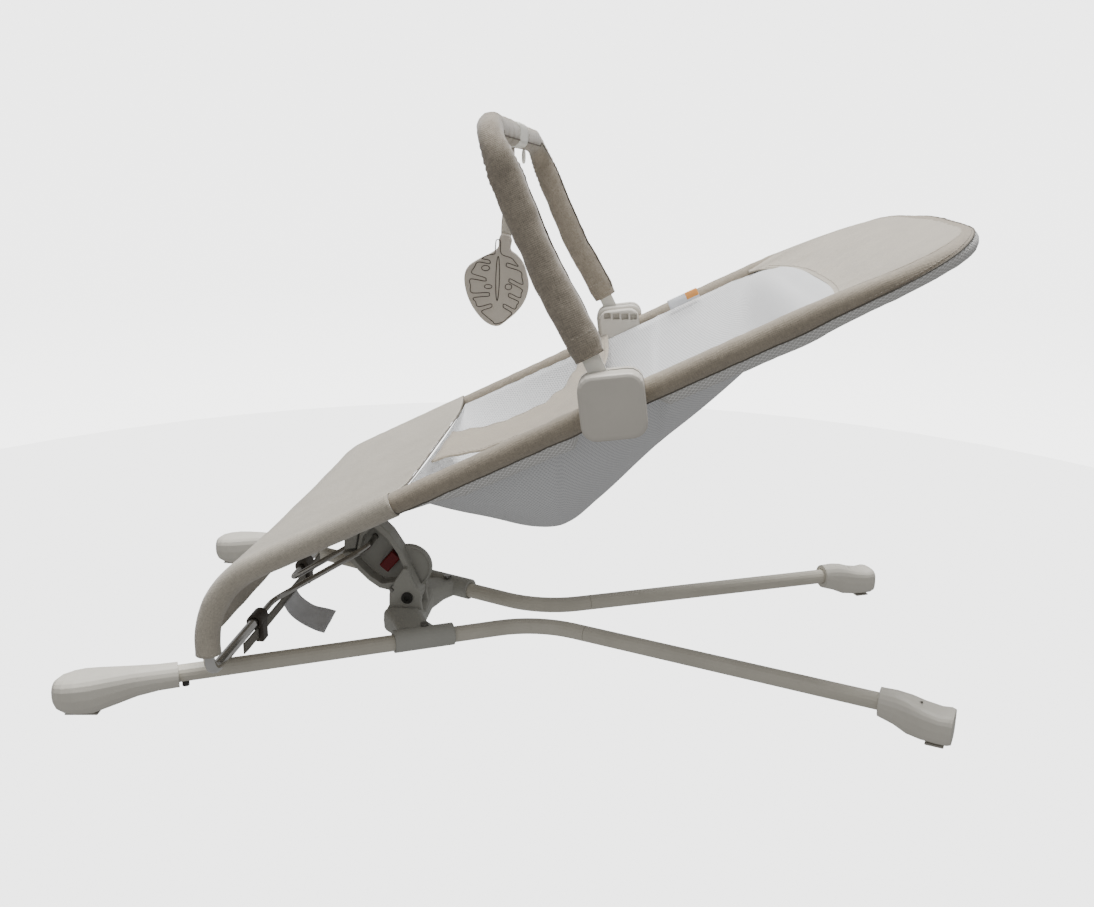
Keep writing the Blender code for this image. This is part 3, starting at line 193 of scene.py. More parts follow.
class Paint:
    """A Principled material whose nodes are added one by one."""

    def __init__(self, name, coords="UV", **sockets):
        self.material = bpy.data.materials.new(name)
        self.material.use_nodes = True
        self.tree = self.material.node_tree
        self.shader = self.tree.nodes["Principled BSDF"]
        self.place = self.node("ShaderNodeTexCoord").outputs[coords]
        for socket, value in sockets.items():
            self.shader.inputs[socket.replace("_", " ")].default_value = value

    def node(self, kind, **settings):
        node = self.tree.nodes.new(kind)
        for key, value in settings.items():
            setattr(node, key, value)
        return node

    def link(self, value, socket):
        if isinstance(value, bpy.types.NodeSocket):
            self.tree.links.new(value, socket)
        elif isinstance(value, (tuple, list)) and len(value) == 3 and socket.type == "RGBA":
            socket.default_value = (*value, 1.0)
        else:
            socket.default_value = value

    def made(self, kind, output, inputs, **settings):
        """Adds a node, feeds its inputs and gives back one of its outputs."""
        node = self.node(kind, **settings)
        for socket, value in inputs.items():
            self.link(value, node.inputs[socket])
        return node.outputs[output]

    def math(self, operation, a, b=0.0):
        return self.made("ShaderNodeMath", 0, {0: a, 1: b}, operation=operation)

    def add(self, a, b):
        return self.math("ADD", a, b)

    def times(self, a, b):
        return self.math("MULTIPLY", a, b)

    def stretched(self, scale):
        return self.made("ShaderNodeMapping", 0, {"Vector": self.place, "Scale": scale})

    def noise(self, scale, detail=2.0, place=None):
        inputs = {"Vector": place or self.place, "Scale": scale, "Detail": detail}
        return self.made("ShaderNodeTexNoise", "Fac", inputs)

    def ramp(self, value, low, high):
        return self.made("ShaderNodeMapRange", "Result", {"Value": value, "From Min": low, "From Max": high})

    def mix(self, share, a, b):
        return self.made("ShaderNodeMix", 2, {0: share, 6: a, 7: b}, data_type="RGBA")

    def shade(self, value, low, high, first, last):
        """Runs from the first colour to the last as the value goes from low to high."""
        return self.mix(self.ramp(value, low, high), first, last)

    def axis(self, which):
        return self.made("ShaderNodeSeparateXYZ", which, {0: self.place})

    def colour(self, value):
        self.link(value, self.shader.inputs["Base Color"])

    def rough(self, value, low, high):
        inputs = {"Value": value, "To Min": low, "To Max": high}
        self.link(self.made("ShaderNodeMapRange", "Result", inputs), self.shader.inputs["Roughness"])

    def bump(self, height, distance, strength=1.0, rounding=0.0):
        node = self.node("ShaderNodeBump")
        if rounding:
            edge = self.node("ShaderNodeBevel", samples=4)
            edge.inputs["Radius"].default_value = rounding
            self.link(edge.outputs[0], node.inputs["Normal"])
        self.link(height, node.inputs["Height"])
        node.inputs["Distance"].default_value = distance
        node.inputs["Strength"].default_value = strength
        self.link(node.outputs[0], self.shader.inputs["Normal"])


def tinted(colour, share):
    return tuple(channel * share for channel in colour)


def flecked(paint, value, colour, dark, light, low=0.3, high=0.7):
    """The colour, from a darker to a lighter share of it as the value rises."""
    return paint.shade(value, low, high, tinted(colour, dark), tinted(colour, light))


def heather_fabric(name, colour, pitch=0.0009, contrast=1.0):
    """Woven melange cloth: two sets of yarns, each flecked lighter and darker along its length."""
    paint = Paint(name, Roughness=0.92, Sheen_Weight=0.45, Sheen_Roughness=0.45)
    warp = paint.noise(1.0, 3.0, paint.stretched((180.0, 1500.0, 1.0)))
    weft = paint.noise(1.0, 3.0, paint.stretched((1500.0, 180.0, 1.0)))
    fleck = paint.add(paint.times(warp, 0.5), paint.times(weft, 0.5))
    cloud = paint.noise(26.0, 3.0)
    spread = 0.16 / contrast
    base = paint.shade(fleck, 0.5 - spread, 0.5 + spread, tinted(colour, 0.66), tinted(colour, 1.28))
    worn = paint.shade(cloud, 0.35, 0.72, base, paint.mix(0.18, base, tinted(colour, 1.5)))
    paint.colour(worn)
    turn = math.pi / pitch
    across = paint.math("SINE", paint.times(paint.axis(0), turn))
    along = paint.math("SINE", paint.times(paint.axis(1), turn))
    weave = paint.times(across, along)
    height = paint.add(paint.times(weave, 0.35), paint.times(fleck, 0.9))
    paint.bump(height, 0.00035, 0.8)
    paint.rough(fleck, 0.85, 0.97)
    return paint.material


def hex_mesh(name, colour, hole, pitch, opening=0.3, depth=0.0005):
    """Knitted spacer mesh: rows of round holes, each row shifted by half a hole."""
    paint = Paint(name, Roughness=0.85, Sheen_Weight=0.15)
    u = paint.math("DIVIDE", paint.axis(0), pitch)
    v = paint.math("DIVIDE", paint.axis(1), pitch * math.sqrt(3))

    def distance(shift):
        du = paint.math("SUBTRACT", paint.math("FRACT", paint.add(u, 100.0 + shift)), 0.5)
        dv = paint.math("SUBTRACT", paint.math("FRACT", paint.add(v, 100.0 + shift)), 0.5)
        dv = paint.times(dv, math.sqrt(3))
        squared = paint.add(paint.times(du, du), paint.times(dv, dv))
        return paint.math("SQRT", squared)

    near = paint.math("MINIMUM", distance(0.0), distance(0.5))
    thread = paint.ramp(near, opening * 0.6, opening * 1.25)
    yarn = paint.noise(900.0, 2.0)
    cloud = paint.noise(14.0, 2.0)
    lit = paint.shade(yarn, 0.3, 0.7, tinted(colour, 0.9), colour)
    lit = paint.shade(cloud, 0.35, 0.7, lit, tinted(colour, 0.93))
    paint.colour(paint.mix(thread, hole, lit))
    height = paint.add(thread, paint.times(yarn, 0.25))
    paint.bump(height, depth, 0.9)
    paint.rough(yarn, 0.75, 0.95)
    return paint.material


def diamond_mesh(name, colour, hole, pitch):
    """Air mesh of lens-shaped holes between crossing threads."""
    paint = Paint(name, Roughness=0.8, Sheen_Weight=0.15)
    u = paint.times(paint.axis(0), math.pi / pitch)
    v = paint.times(paint.axis(1), math.pi / (pitch * 0.62))
    one = paint.math("ABSOLUTE", paint.math("SINE", paint.add(u, v)))
    two = paint.math("ABSOLUTE", paint.math("SINE", paint.math("SUBTRACT", u, v)))
    open_ = paint.times(one, two)
    thread = paint.math("SUBTRACT", 1.0, paint.ramp(open_, 0.22, 0.62))
    yarn = paint.noise(700.0, 2.0)
    lit = paint.shade(yarn, 0.3, 0.7, tinted(colour, 0.88), colour)
    paint.colour(paint.mix(thread, hole, lit))
    paint.bump(paint.add(thread, paint.times(yarn, 0.2)), 0.0007, 0.9)
    paint.rough(yarn, 0.7, 0.9)
    return paint.material


def moulded(name, colour, roughness=0.42, grain=0.00006):
    """Moulded plastic: a fine spark-eroded grain, faint flow clouds and dulled scuffs."""
    paint = Paint(name, "Object", Specular_IOR_Level=0.42)
    fine = paint.noise(2400.0, 2.0)
    cloud = paint.noise(18.0, 4.0)
    scuff = paint.noise(95.0, 6.0)
    base = flecked(paint, cloud, colour, 0.95, 1.04, 0.35, 0.7)
    dulled = paint.times(paint.ramp(scuff, 0.56, 0.75), 0.1)
    paint.colour(paint.mix(dulled, base, tinted(colour, 0.72)))
    paint.rough(scuff, roughness - 0.08, roughness + 0.14)
    paint.bump(fine, grain, 0.7, rounding=0.0016)
    return paint.material


def powder_coat(name, colour):
    """Powder-coated tube: orange-peel surface with small rubbed spots."""
    paint = Paint(name, "Object", Coat_Weight=0.15, Coat_Roughness=0.3)
    peel = paint.noise(650.0, 2.0)
    cloud = paint.noise(22.0, 4.0)
    rub = paint.noise(120.0, 6.0)
    base = flecked(paint, cloud, colour, 0.93, 1.05, 0.35, 0.7)
    rubbed = paint.times(paint.ramp(rub, 0.62, 0.78), 0.25)
    paint.colour(paint.mix(rubbed, base, tinted(colour, 0.6)))
    paint.rough(rub, 0.34, 0.55)
    paint.bump(peel, 0.00012, 0.5)
    return paint.material


def metal(name, colour, roughness, scratch=0.14, metallic=1.0):
    """Plated or blackened steel, with drawn scratches and cloudy dulling."""
    paint = Paint(name, "Object", Metallic=metallic)
    lines = paint.noise(1.0, 4.0, paint.stretched((60.0, 900.0, 900.0)))
    cloud = paint.noise(45.0, 4.0)
    paint.colour(paint.shade(cloud, 0.3, 0.75, colour, tinted(colour, 0.8)))
    paint.rough(lines, roughness, roughness + scratch)
    paint.bump(lines, 0.00002, 0.4)
    return paint.material


def webbing(name, colour, pitch):
    """Ribbed narrow fabric."""
    paint = Paint(name, Roughness=0.85, Sheen_Weight=0.2)
    ribs = paint.math("SINE", paint.times(paint.axis(0), 2 * math.pi / pitch))
    yarn = paint.noise(1.0, 3.0, paint.stretched((500.0, 1600.0, 1.0)))
    paint.colour(flecked(paint, yarn, colour, 0.75, 1.15))
    paint.bump(paint.add(ribs, yarn), 0.0002, 0.8)
    paint.rough(yarn, 0.75, 0.95)
    return paint.material


def satin(name, colour):
    """Printed satin label cloth, without lettering."""
    paint = Paint(name, Roughness=0.45, Sheen_Weight=0.3)
    weave = paint.noise(1.0, 2.0, paint.stretched((400.0, 2600.0, 1.0)))
    fold = paint.noise(60.0, 3.0)
    paint.colour(paint.shade(fold, 0.3, 0.75, colour, tinted(colour, 0.86)))
    paint.rough(weave, 0.38, 0.55)
    paint.bump(weave, 0.00008, 0.6)
    return paint.material


def felt(name, colour):
    """Soft pressed sheet with a faint nap."""
    paint = Paint(name, Roughness=0.8, Sheen_Weight=0.3, Sheen_Roughness=0.4)
    nap = paint.noise(1100.0, 3.0)
    cloud = paint.noise(40.0, 3.0)
    base = flecked(paint, nap, colour, 0.88, 1.06)
    paint.colour(paint.shade(cloud, 0.3, 0.7, base, tinted(colour, 0.94)))
    paint.rough(nap, 0.7, 0.9)
    paint.bump(nap, 0.00015, 0.6)
    return paint.material


def stitched(name, colour):
    """Twisted sewing thread or piping."""
    paint = Paint(name, "Object", Roughness=0.8)
    twist = paint.noise(1500.0, 2.0)
    paint.colour(flecked(paint, twist, colour, 0.7, 1.2))
    paint.rough(twist, 0.7, 0.9)
    paint.bump(twist, 0.0001, 0.7)
    return paint.material


MATERIALS = {
    # The rim's colour holds painted shade: it is darkened to stand in for the shade on the seat's sides
    "rim": heather_fabric("rim_heather", RIM_COLOUR_WITH_SHADE, contrast=0.85),
    "head": heather_fabric("head_heather", HEAD_COLOUR, contrast=0.7),
    "flap": heather_fabric("flap_heather", FLAP_COLOUR, contrast=0.85),
    "panel": heather_fabric("panel_heather", PANEL_COLOUR, contrast=0.7),
    # The sleeves' colour holds painted shade: it is darkened to stand in for the shade on the bar's sides
    "sleeve": heather_fabric("sleeve_heather", SLEEVE_COLOUR_WITH_SHADE, contrast=1.2),
    "mesh": hex_mesh("knitted_mesh", (0.8, 0.805, 0.81), (0.56, 0.565, 0.575), 0.0032, depth=0.0003),
    "air_mesh": diamond_mesh("air_mesh", (0.84, 0.83, 0.81), (0.55, 0.54, 0.515), 0.0048),
    "piping": stitched("piping_cord", (0.13, 0.115, 0.095)),
    "thread": stitched("sewing_thread", (0.42, 0.38, 0.32)),
    "leaf": felt("leaf_sheet", (0.55, 0.5, 0.43)),
    "leaf_line": stitched("leaf_thread", (0.035, 0.026, 0.018)),
    "label": satin("label_satin", (0.74, 0.75, 0.78)),
    "patch": satin("label_patch", (0.8, 0.33, 0.07)),
    "strap": webbing("strap_webbing", (0.23, 0.215, 0.18), 0.0016),
    "ribbon": webbing("ribbon_satin", (0.66, 0.61, 0.52), 0.001),
    "foot": moulded("foot_plastic", (0.66, 0.63, 0.555)),
    "hub": moulded("hub_plastic", (0.42, 0.415, 0.375), 0.4),
    "sleeve_plastic": moulded("clamp_plastic", (0.6, 0.565, 0.5), 0.38),
    "joint": moulded("joint_plastic", (0.8, 0.785, 0.72), 0.35),
    "rubber": moulded("foot_rubber", (0.42, 0.4, 0.36), 0.75, 0.00012),
    "dark": moulded("dark_plastic", (0.045, 0.042, 0.038), 0.45),
    "collar": moulded("collar_brown", (0.075, 0.062, 0.048), 0.45),
    "red": moulded("latch_red", (0.15, 0.005, 0.007), 0.38),
    "strip": moulded("bar_strip", (0.55, 0.55, 0.52), 0.5),
    "paint": powder_coat("frame_paint", (0.6, 0.565, 0.48)),
    "chrome": metal("chromed_tube", (0.66, 0.645, 0.62), 0.09),
    "wire": metal("spring_steel", (0.46, 0.445, 0.42), 0.13),
    "steel": metal("screw_steel", (0.36, 0.35, 0.33), 0.25),
    "dark_steel": metal("dark_steel", (0.07, 0.068, 0.065), 0.35, metallic=0.8),
}


# ---------------------------------------------------------------- building pieces


def new_object(name, bm, materials, shade=True):
    mesh = bpy.data.meshes.new(name)
    bm.to_mesh(mesh)
    bm.free()
    obj = bpy.data.objects.new(name, mesh)
    bpy.context.scene.collection.objects.link(obj)
    for material in materials:
        mesh.materials.append(MATERIALS[material])
    for face in mesh.polygons:
        face.use_smooth = shade
    return obj


def grid(name, rows, columns, place, materials, pick=None, closed=False):
    """A surface through place(u, v); its UVs are metres along and across, so that a weave keeps its scale."""
    points = [[place(i / rows, j / columns) for j in range(columns + 1)] for i in range(rows + 1)]
    middle = columns // 2
    along = [0.0]
    for before, after in zip(points, points[1:]):
        along.append(along[-1] + (after[middle] - before[middle]).length)
    across = []
    for row in points:
        lengths = [0.0]
        for start, end in zip(row, row[1:]):
            lengths.append(lengths[-1] + (end - start).length)
        across.append([length - lengths[middle] for length in lengths])
    bm = bmesh.new()
    layer = bm.loops.layers.uv.new("cloth")
    verts = [[bm.verts.new(point) for point in row] for row in points]
    for i in range(rows):
        for j in range(columns):
            corners = ((i, j), (i, j + 1), (i + 1, j + 1), (i + 1, j))
            face = bm.faces.new([verts[a][b] for a, b in corners])
            for loop, (a, b) in zip(face.loops, corners):
                loop[layer].uv = (along[a], across[a][b])
            if pick:
                face.material_index = pick((i + 0.5) / rows, (j + 0.5) / columns)
    if closed:
        bmesh.ops.remove_doubles(bm, verts=bm.verts, dist=1e-6)
    return new_object(name, bm, materials)


def bridge(bm, rings):
    """Joins closed rings of the same count of points, each to the next."""
    for lower, upper in zip(rings, rings[1:]):
        for side in range(len(lower)):
            after = (side + 1) % len(lower)
            bm.faces.new((lower[side], lower[after], upper[after], upper[side]))


def thicken(obj, thickness, offset=0.0):
    solidify = obj.modifiers.new("thickness", "SOLIDIFY")
    solidify.thickness = thickness
    solidify.offset = offset
    return obj


def cord_mesh(name, points, radius, material, sides=8, loop=False):
    """A thin thread or piping along the points."""
    count = len(points)

    def ring(u, v):
        index = round(u * (count - 1))
        before = points[index - 1] if index or loop else points[0]
        after = points[(index + 1) % count] if loop else points[min(index + 1, count - 1)]
        ahead = (after - before).normalized()
        across = ahead.cross(Vector((0, 1, 0)) if abs(ahead.y) < 0.9 else Vector((0, 0, 1))).normalized()
        up = across.cross(ahead)
        angle = 2 * math.pi * v
        return points[index] + across * math.cos(angle) * radius + up * math.sin(angle) * radius

    return grid(name, count - 1, sides, ring, [material], closed=True)


def stitches(name, points, stitch):
    """A row of short thread stitches along the points."""
    pitch, length = stitch
    total = sum((b - a).length for a, b in zip(points, points[1:]))
    count = max(int(total / pitch), 2)
    line = resampled(points, count * 4)
    bm = bmesh.new()
    for index in range(count):
        start = line[index * 4]
        way = (line[index * 4 + 3] - start).normalized()
        across = way.cross(Vector((0.3, 0.2, 0.93))).normalized()
        up = across.cross(way)
        rings = []
        for reach, size in ((0.0, 0.45), (0.2, 1.0), (0.8, 1.0), (1.0, 0.45)):
            centre = start + way * length * reach
            ring = []
            for side in range(6):
                arm = across * math.cos(side * math.pi / 3) + up * math.sin(side * math.pi / 3)
                ring.append(bm.verts.new(centre + arm * THREAD_R * size))
            rings.append(ring)
        bridge(bm, rings)
        bm.faces.new(rings[0][::-1])
        bm.faces.new(rings[-1])
    return new_object(name, bm, ["thread"])


def puffed(obj, pressure, cap):
    """Lets a padded piece swell like stuffed cloth, with its ends held.

    The swollen shape is kept, and no point moves further than cap.
    """
    held = obj.vertex_groups.new(name="held")
    rest = [vertex.co.copy() for vertex in obj.data.vertices]
    count = len(rest)
    ends = list(range(PUFF_HELD)) + list(range(count - PUFF_HELD, count))
    held.add(ends, 1.0, "REPLACE")
    cloth = obj.modifiers.new("cloth", "CLOTH")
    cloth.settings.quality = 6
    cloth.settings.mass = 0.2
    cloth.settings.tension_stiffness = 25.0
    cloth.settings.compression_stiffness = 25.0
    cloth.settings.bending_stiffness = 0.6
    cloth.settings.use_pressure = True
    cloth.settings.uniform_pressure_force = pressure
    cloth.settings.vertex_group_mass = "held"
    cloth.settings.effector_weights.gravity = 0.0
    cloth.point_cache.frame_start = 1
    cloth.point_cache.frame_end = PUFF_FRAMES
    scene = bpy.context.scene
    for number in range(1, PUFF_FRAMES + 1):
        scene.frame_set(number)
    graph = bpy.context.evaluated_depsgraph_get()
    moved = [vertex.co.copy() for vertex in obj.evaluated_get(graph).data.vertices]
    obj.modifiers.remove(cloth)
    for vertex, before, after in zip(obj.data.vertices, rest, moved):
        step = after - before
        if step.length > cap:
            step = step.normalized() * cap
        vertex.co = before + step
    scene.frame_set(1)
    obj.data.update()
    return obj


# ---------------------------------------------------------------- rim cover

RIM_ROWS = 420
RIM_TAUPE = 18
RIM_MESH = 12
RIM_TUCK = 0.006
# How much thinner the rim is where it goes under the foot cover
SEAM_DIP = 0.0021
# Angle below which the rim's cover is air mesh, in degrees from level, by distance along the rail
MESH_ANGLE = (
    (-0.2, -62.0), (0.04, -66.0), (0.166, -64.0), (0.224, -26.0),
    (0.286, 10.0), (0.31, 34.0), (0.322, 52.0),
)
# How far the air mesh hangs below the rail's cover
MESH_DROP = (
    (-0.199, 0.0), (-0.165, 0.003), (-0.14, 0.0085), (-0.04, 0.0098), (-0.031, 0.0),
    (0.0365, 0.0), (0.044, 0.0085), (0.166, 0.009), (0.224, 0.004), (0.27, 0.0008), (0.32, 0.0),
)


def rim_path():
    corners = [
        on_rail(SEAM_ALONG - RIM_TUCK, -RAIL_Y),
        on_rail(BOW_SPLIT, -RAIL_Y),
        on_rail(HEAD_ALONG, -RAIL_Y, -HEAD_DROP),
        on_rail(HEAD_ALONG + HEAD_CROWN, 0.0, -HEAD_DROP),
        on_rail(HEAD_ALONG, RAIL_Y, -HEAD_DROP),
        on_rail(BOW_SPLIT, RAIL_Y),
        on_rail(SEAM_ALONG - RIM_TUCK, RAIL_Y),
    ]
    return resampled(rounded_path(corners, [0.3, HEAD_CORNER_R, 0.6, HEAD_CORNER_R, 0.3], 24), RIM_ROWS)


def frames_along(path, upward):
    """For each point of a path: (point, outward, upward), both square to the path."""
    frames = []
    for index, point in enumerate(path):
        ahead = heading(path, index)
        up = (upward - ahead * upward.dot(ahead)).normalized()
        frames.append((point, ahead.cross(up), up))
    return frames


RAIL_NORMAL = Vector((-math.sin(RAIL_SLOPE), 0, math.cos(RAIL_SLOPE)))
RIM = frames_along(rim_path(), RAIL_NORMAL)


def rim_point(index, angle, hang=0.0, proud=0.0):
    point, out, up = RIM[index]
    along = along_of(point)
    radius = COVER_R + (HEAD_COVER_R - COVER_R) * smooth((along - 0.16) / 0.06) + proud
    radius -= SEAM_DIP * (1 - smooth((along - SEAM_ALONG + 0.001) / 0.003))
    if abs(along - CLAMP_ALONG) > CLAMP_REACH:
        radius += ripple(point, 70.0, 0.0005, 3.0)
        radius += ripple(point + up * 0.1 * math.sin(angle), 190.0, 0.00025, 9.0)
    return point + out * math.cos(angle) * radius + up * (math.sin(angle) * radius - hang)


def rim_cover():
    def place(u, v):
        index = round(u * RIM_ROWS)
        along = along_of(RIM[index][0])
        edge = math.radians(between(along, MESH_ANGLE))
        step = v * (RIM_TAUPE + RIM_MESH)
        if step <= RIM_TAUPE:
            angle = edge + (math.pi - 2 * edge) * step / RIM_TAUPE
            return rim_point(index, angle)
        share = (step - RIM_TAUPE) / RIM_MESH
        angle = math.pi - edge + (math.pi + 2 * edge) * share
        return rim_point(index, angle, between(along, MESH_DROP) * math.sin(math.pi * share) ** 0.55)

    columns = RIM_TAUPE + RIM_MESH
    return grid(
        "rim_cover", RIM_ROWS, columns, place, ["rim", "air_mesh"],
        pick=lambda u, v: 0 if v * columns < RIM_TAUPE else 1, closed=True,
    )


def rim_piping():
    points = []
    for index, (point, _, _) in enumerate(RIM):
        edge = math.radians(between(along_of(point), MESH_ANGLE))
        points.append(rim_point(index, edge, proud=0.0002))
    return cord_mesh("rim_piping", points, 0.0007, "piping", PIPING_SIDES)


def rim_stitches():
    points = []
    for index, (point, _, _) in enumerate(RIM):
        along = along_of(point)
        if along > CLAMP_ALONG + CLAMP_REACH + 0.004:
            edge = math.radians(between(along, MESH_ANGLE)) + 0.3
            points.append(rim_point(index, edge, proud=0.0001))
    return stitches("rim_stitches", points, RIM_STITCH)


# ---------------------------------------------------------------- foot cover

FOOT_ROWS = 90
WRAP_COLUMNS = 18
SPAN_COLUMNS = 60
PANEL_SAG = 0.0035
SEAM_SAG = 0.0088
FOOT_CLOTH = 0.0015


def foot_path():
    straight_end = (FOOT_X - RAIL_REF.x) / math.cos(RAIL_SLOPE)
    corners = [on_rail(SEAM_ALONG + 0.0014), on_rail(straight_end), Vector((FOOT_X, 0, COVER_END_Z))]
    return resampled(rounded_path(corners, [FOOT_BEND_R], 30), FOOT_ROWS)


FOOT = foot_path()


def foot_frame(index):
    return FOOT[index], Vector((0, 1, 0)).cross(heading(FOOT, index)).normalized()


def panel_sag(u, across):
    """How far the foot panel lies below its rails' tops: most at the seam, where the sling pulls it down."""
    pull = SEAM_SAG * (1 - smooth(u * 2.2)) * (1 - abs(across) ** 7)
    return pull + PANEL_SAG * (1 - abs(across) ** 3.2) * math.sin(math.pi * min(u * 1.15, 1.0))


def foot_cover():
    """The foot panel, wrapped round both rails and left open under them at the inside."""
    columns = 2 * WRAP_COLUMNS + SPAN_COLUMNS

    def place(u, v):
        index = round(u * FOOT_ROWS)
        point, up = foot_frame(index)
        step = v * columns
        radius = COVER_R
        if step < WRAP_COLUMNS or step > columns - WRAP_COLUMNS:
            sign = -1 if step < WRAP_COLUMNS else 1
            share = step / WRAP_COLUMNS if sign < 0 else (columns - step) / WRAP_COLUMNS
            angle = math.radians(-165 + 255 * share)
            here = point + Vector((0, sign * RAIL_Y, 0))
            radius += ripple(here, 60.0, 0.0005, 5.0)
            return here + Vector((0, sign * math.cos(angle) * radius, 0)) + up * math.sin(angle) * radius
        across = -1 + 2 * (step - WRAP_COLUMNS) / SPAN_COLUMNS
        here = point + Vector((0, across * RAIL_Y, 0))
        above = radius - panel_sag(u, across)
        broad = Vector((here.x * 0.6, here.y * 1.6, 0))
        fine = Vector((here.x * 2.0, here.y * 0.35, 0))
        above += ripple(broad, 22.0, 0.0011, 1.0) * (1 - across**4)
        above += ripple(fine, 60.0, 0.0004, 7.0) * smooth(u * 6)
        return here + up * above

    obj = grid("foot_cover", FOOT_ROWS, columns, place, ["panel"])
    return thicken(obj, FOOT_CLOTH, 1.0)


def seam_line(inset, lift):
    """A line across the foot panel beside its seam, on the cloth."""
    index = min(int(inset / 0.0027), FOOT_ROWS)
    point, up = foot_frame(index)
    points = []
    for step in range(121):
        across = -1 + step / 60
        above = COVER_R - panel_sag(index / FOOT_ROWS, across) + lift
        points.append(point + Vector((0, across * 0.1965, 0)) + up * above)
    return points


def foot_hem():
    return stitches("foot_hem_stitches", seam_line(0.0055, 0.0002), HEM_STITCH)


def foot_seam_cord():
    return cord_mesh("foot_seam_cord", seam_line(0.0, -0.0009), 0.0009, "piping", PIPING_SIDES)


# ---------------------------------------------------------------- sling and head panel

# The sling's middle line, as in the CAD, and on under the head panel
SLING_LINE = (
    (-0.081, 0.206), (-0.079, 0.185), (-0.06, 0.165), (-0.02, 0.149), (0.025, 0.1375),
    (0.056, 0.142), (0.085, 0.17), (0.124, 0.21), (0.181, 0.266), (0.225, 0.316),
    (0.25, 0.3665), (0.268, 0.3775), (0.2835, 0.3855),
)
SLING_ROWS = 400
SLING_START = SEAM_ALONG + 0.001
# The sling's rows by distance from its start: close together at the seam, where it drops steeply
SLING_STEPS = [0.012 * (k / 24) ** 2 for k in range(24)] + [0.012 + 0.396 * k / 110 for k in range(111)]
SLING_COLUMNS = 72
SLING_HALF = 0.1896
# How much narrower the sling is between the clamps
CLAMP_NARROWING = 0.0078
# The sling's middle line at the end of the mesh, and the same place by distance along the rail
MESH_END_X = 0.25
MESH_END_ALONG = 0.172
# From here on the sling's rows follow the curved end of the mesh
MESH_TURN = 0.12


def sling_line():
    points = [Vector((x, 0, z)) for x, z in SLING_LINE]
    return resampled(spline_through(points, 12), SLING_ROWS)


def sling_place(line, along, across):
    """A point of the sling by its distance along the rail and its share of the half width."""
    first = line[0].x
    x = first + (MESH_END_X - first) * (along - SLING_START) / (MESH_END_ALONG - SLING_START)
    z = between(x, [(point.x, point.z) for point in line])
    half = SLING_HALF - CLAMP_NARROWING * smooth((0.052 - abs(along)) / 0.008)
    edge = on_rail(along, across * half, 0.0012 * abs(across) ** 8)
    share = abs(across) ** 2.2
    gather = (abs(across) ** 6) * (1 - across**8) * ripple(Vector((along, 0, across)), 160.0, 0.003, 2.0)
    slack = (1 - across**2) * ripple(Vector((x, across * 0.2, z)), 16.0, 0.003, 4.0)
    fade = smooth((along - SLING_START) / 0.03) * smooth((0.15 - along) / 0.05)
    tuck = 0.002 * smooth((along - 0.14) / 0.02)
    return Vector((
        x + (edge.x - x) * share,
        across * half,
        z + (edge.z - z) * share + (gather + slack) * fade - tuck,
    ))


def sling():
    """The mesh sling: a pocket hung between the rails, with faint gathers where it is sewn to them."""
    line = sling_line()
    rows = [SLING_START + share for share in SLING_STEPS]

    def place(u, v):
        across = 2 * v - 1
        along = rows[round(u * (len(rows) - 1))]
        end = mesh_end(across * PANEL_HALF_WIDTH) + 0.006
        if along > MESH_TURN:
            along = MESH_TURN + (along - MESH_TURN) * (end - MESH_TURN) / (rows[-1] - MESH_TURN)
        return sling_place(line, along, across)

    obj = grid("sling", len(rows) - 1, SLING_COLUMNS, place, ["mesh"])
    return thicken(obj, 0.0014)


def mesh_end(y):
    """Where the mesh ends at the head, by distance along the rail: a broad arc."""
    return 0.163 + 0.041 * math.sqrt(max(1 - min(abs(y) / PANEL_HALF_WIDTH, 1.0) ** 3, 0.0))


def head_end(y):
    """Where the head panel ends on the head bow, by distance along the rail."""
    inset = 0.0006
    radius = HEAD_CORNER_R - inset
    half = RAIL_Y - inset
    into = max(0.0, abs(y) - (half - radius))
    corner = math.sqrt(max(radius**2 - into**2, 0.0))
    return HEAD_ALONG - inset - radius + corner + HEAD_CROWN * (1 - abs(y) / RAIL_Y)


HEAD_HALF = 0.1974


def head_height(along, y, u):
    """The head panel's height above the rail plane: level with the rim's top, and lower at the mesh."""
    fall = HEAD_DROP * max(0.0, along - BOW_SPLIT) / (HEAD_ALONG - BOW_SPLIT)
    across = min(abs(y) / HEAD_HALF, 1.0)
    level = HEAD_COVER_R - 0.0003
    level -= 0.0112 * (1 - smooth(u * 1.5)) * (1 - across**12)
    level -= 0.0018 * (1 - max(across**4, u**2))
    fan = math.sin(y * 210 + 2.5 * math.sin(y * 37) + along * 18) * 0.0012
    fan *= smooth(1 - abs(u - 0.25) * 3.4) * smooth(across * 2.2) * (1 - across**6)
    crease = ripple(Vector((along * 0.5, y * 2.4, 0)), 42.0, 0.0024, 6.0)
    crease *= (1 - smooth(u * 1.2 - 0.1)) * (1 - across**8)
    return level - fall + (fan + crease) * smooth(u * 7)


def head_panel():
    """The taut fabric from the mesh's curved end to the head bow."""

    def place(u, v):
        y = (2 * v - 1) * HEAD_HALF
        start, end = mesh_end(y), head_end(y)
        along = start + (end - start) * u
        return on_rail(along, y, head_height(along, y, u))

    return thicken(grid("head_cloth", 44, 112, place, ["head"]), 0.0013)


def mesh_end_stitches(inset, name):
    points = []
    for step in range(121):
        y = (-1 + step / 60) * 0.18
        along = mesh_end(y) + inset
        share = inset / max(head_end(y) - mesh_end(y), 0.01)
        points.append(on_rail(along, y, head_height(along, y, share) + 0.0009))
    return stitches(name, points, HEM_STITCH)


# ---------------------------------------------------------------- flap

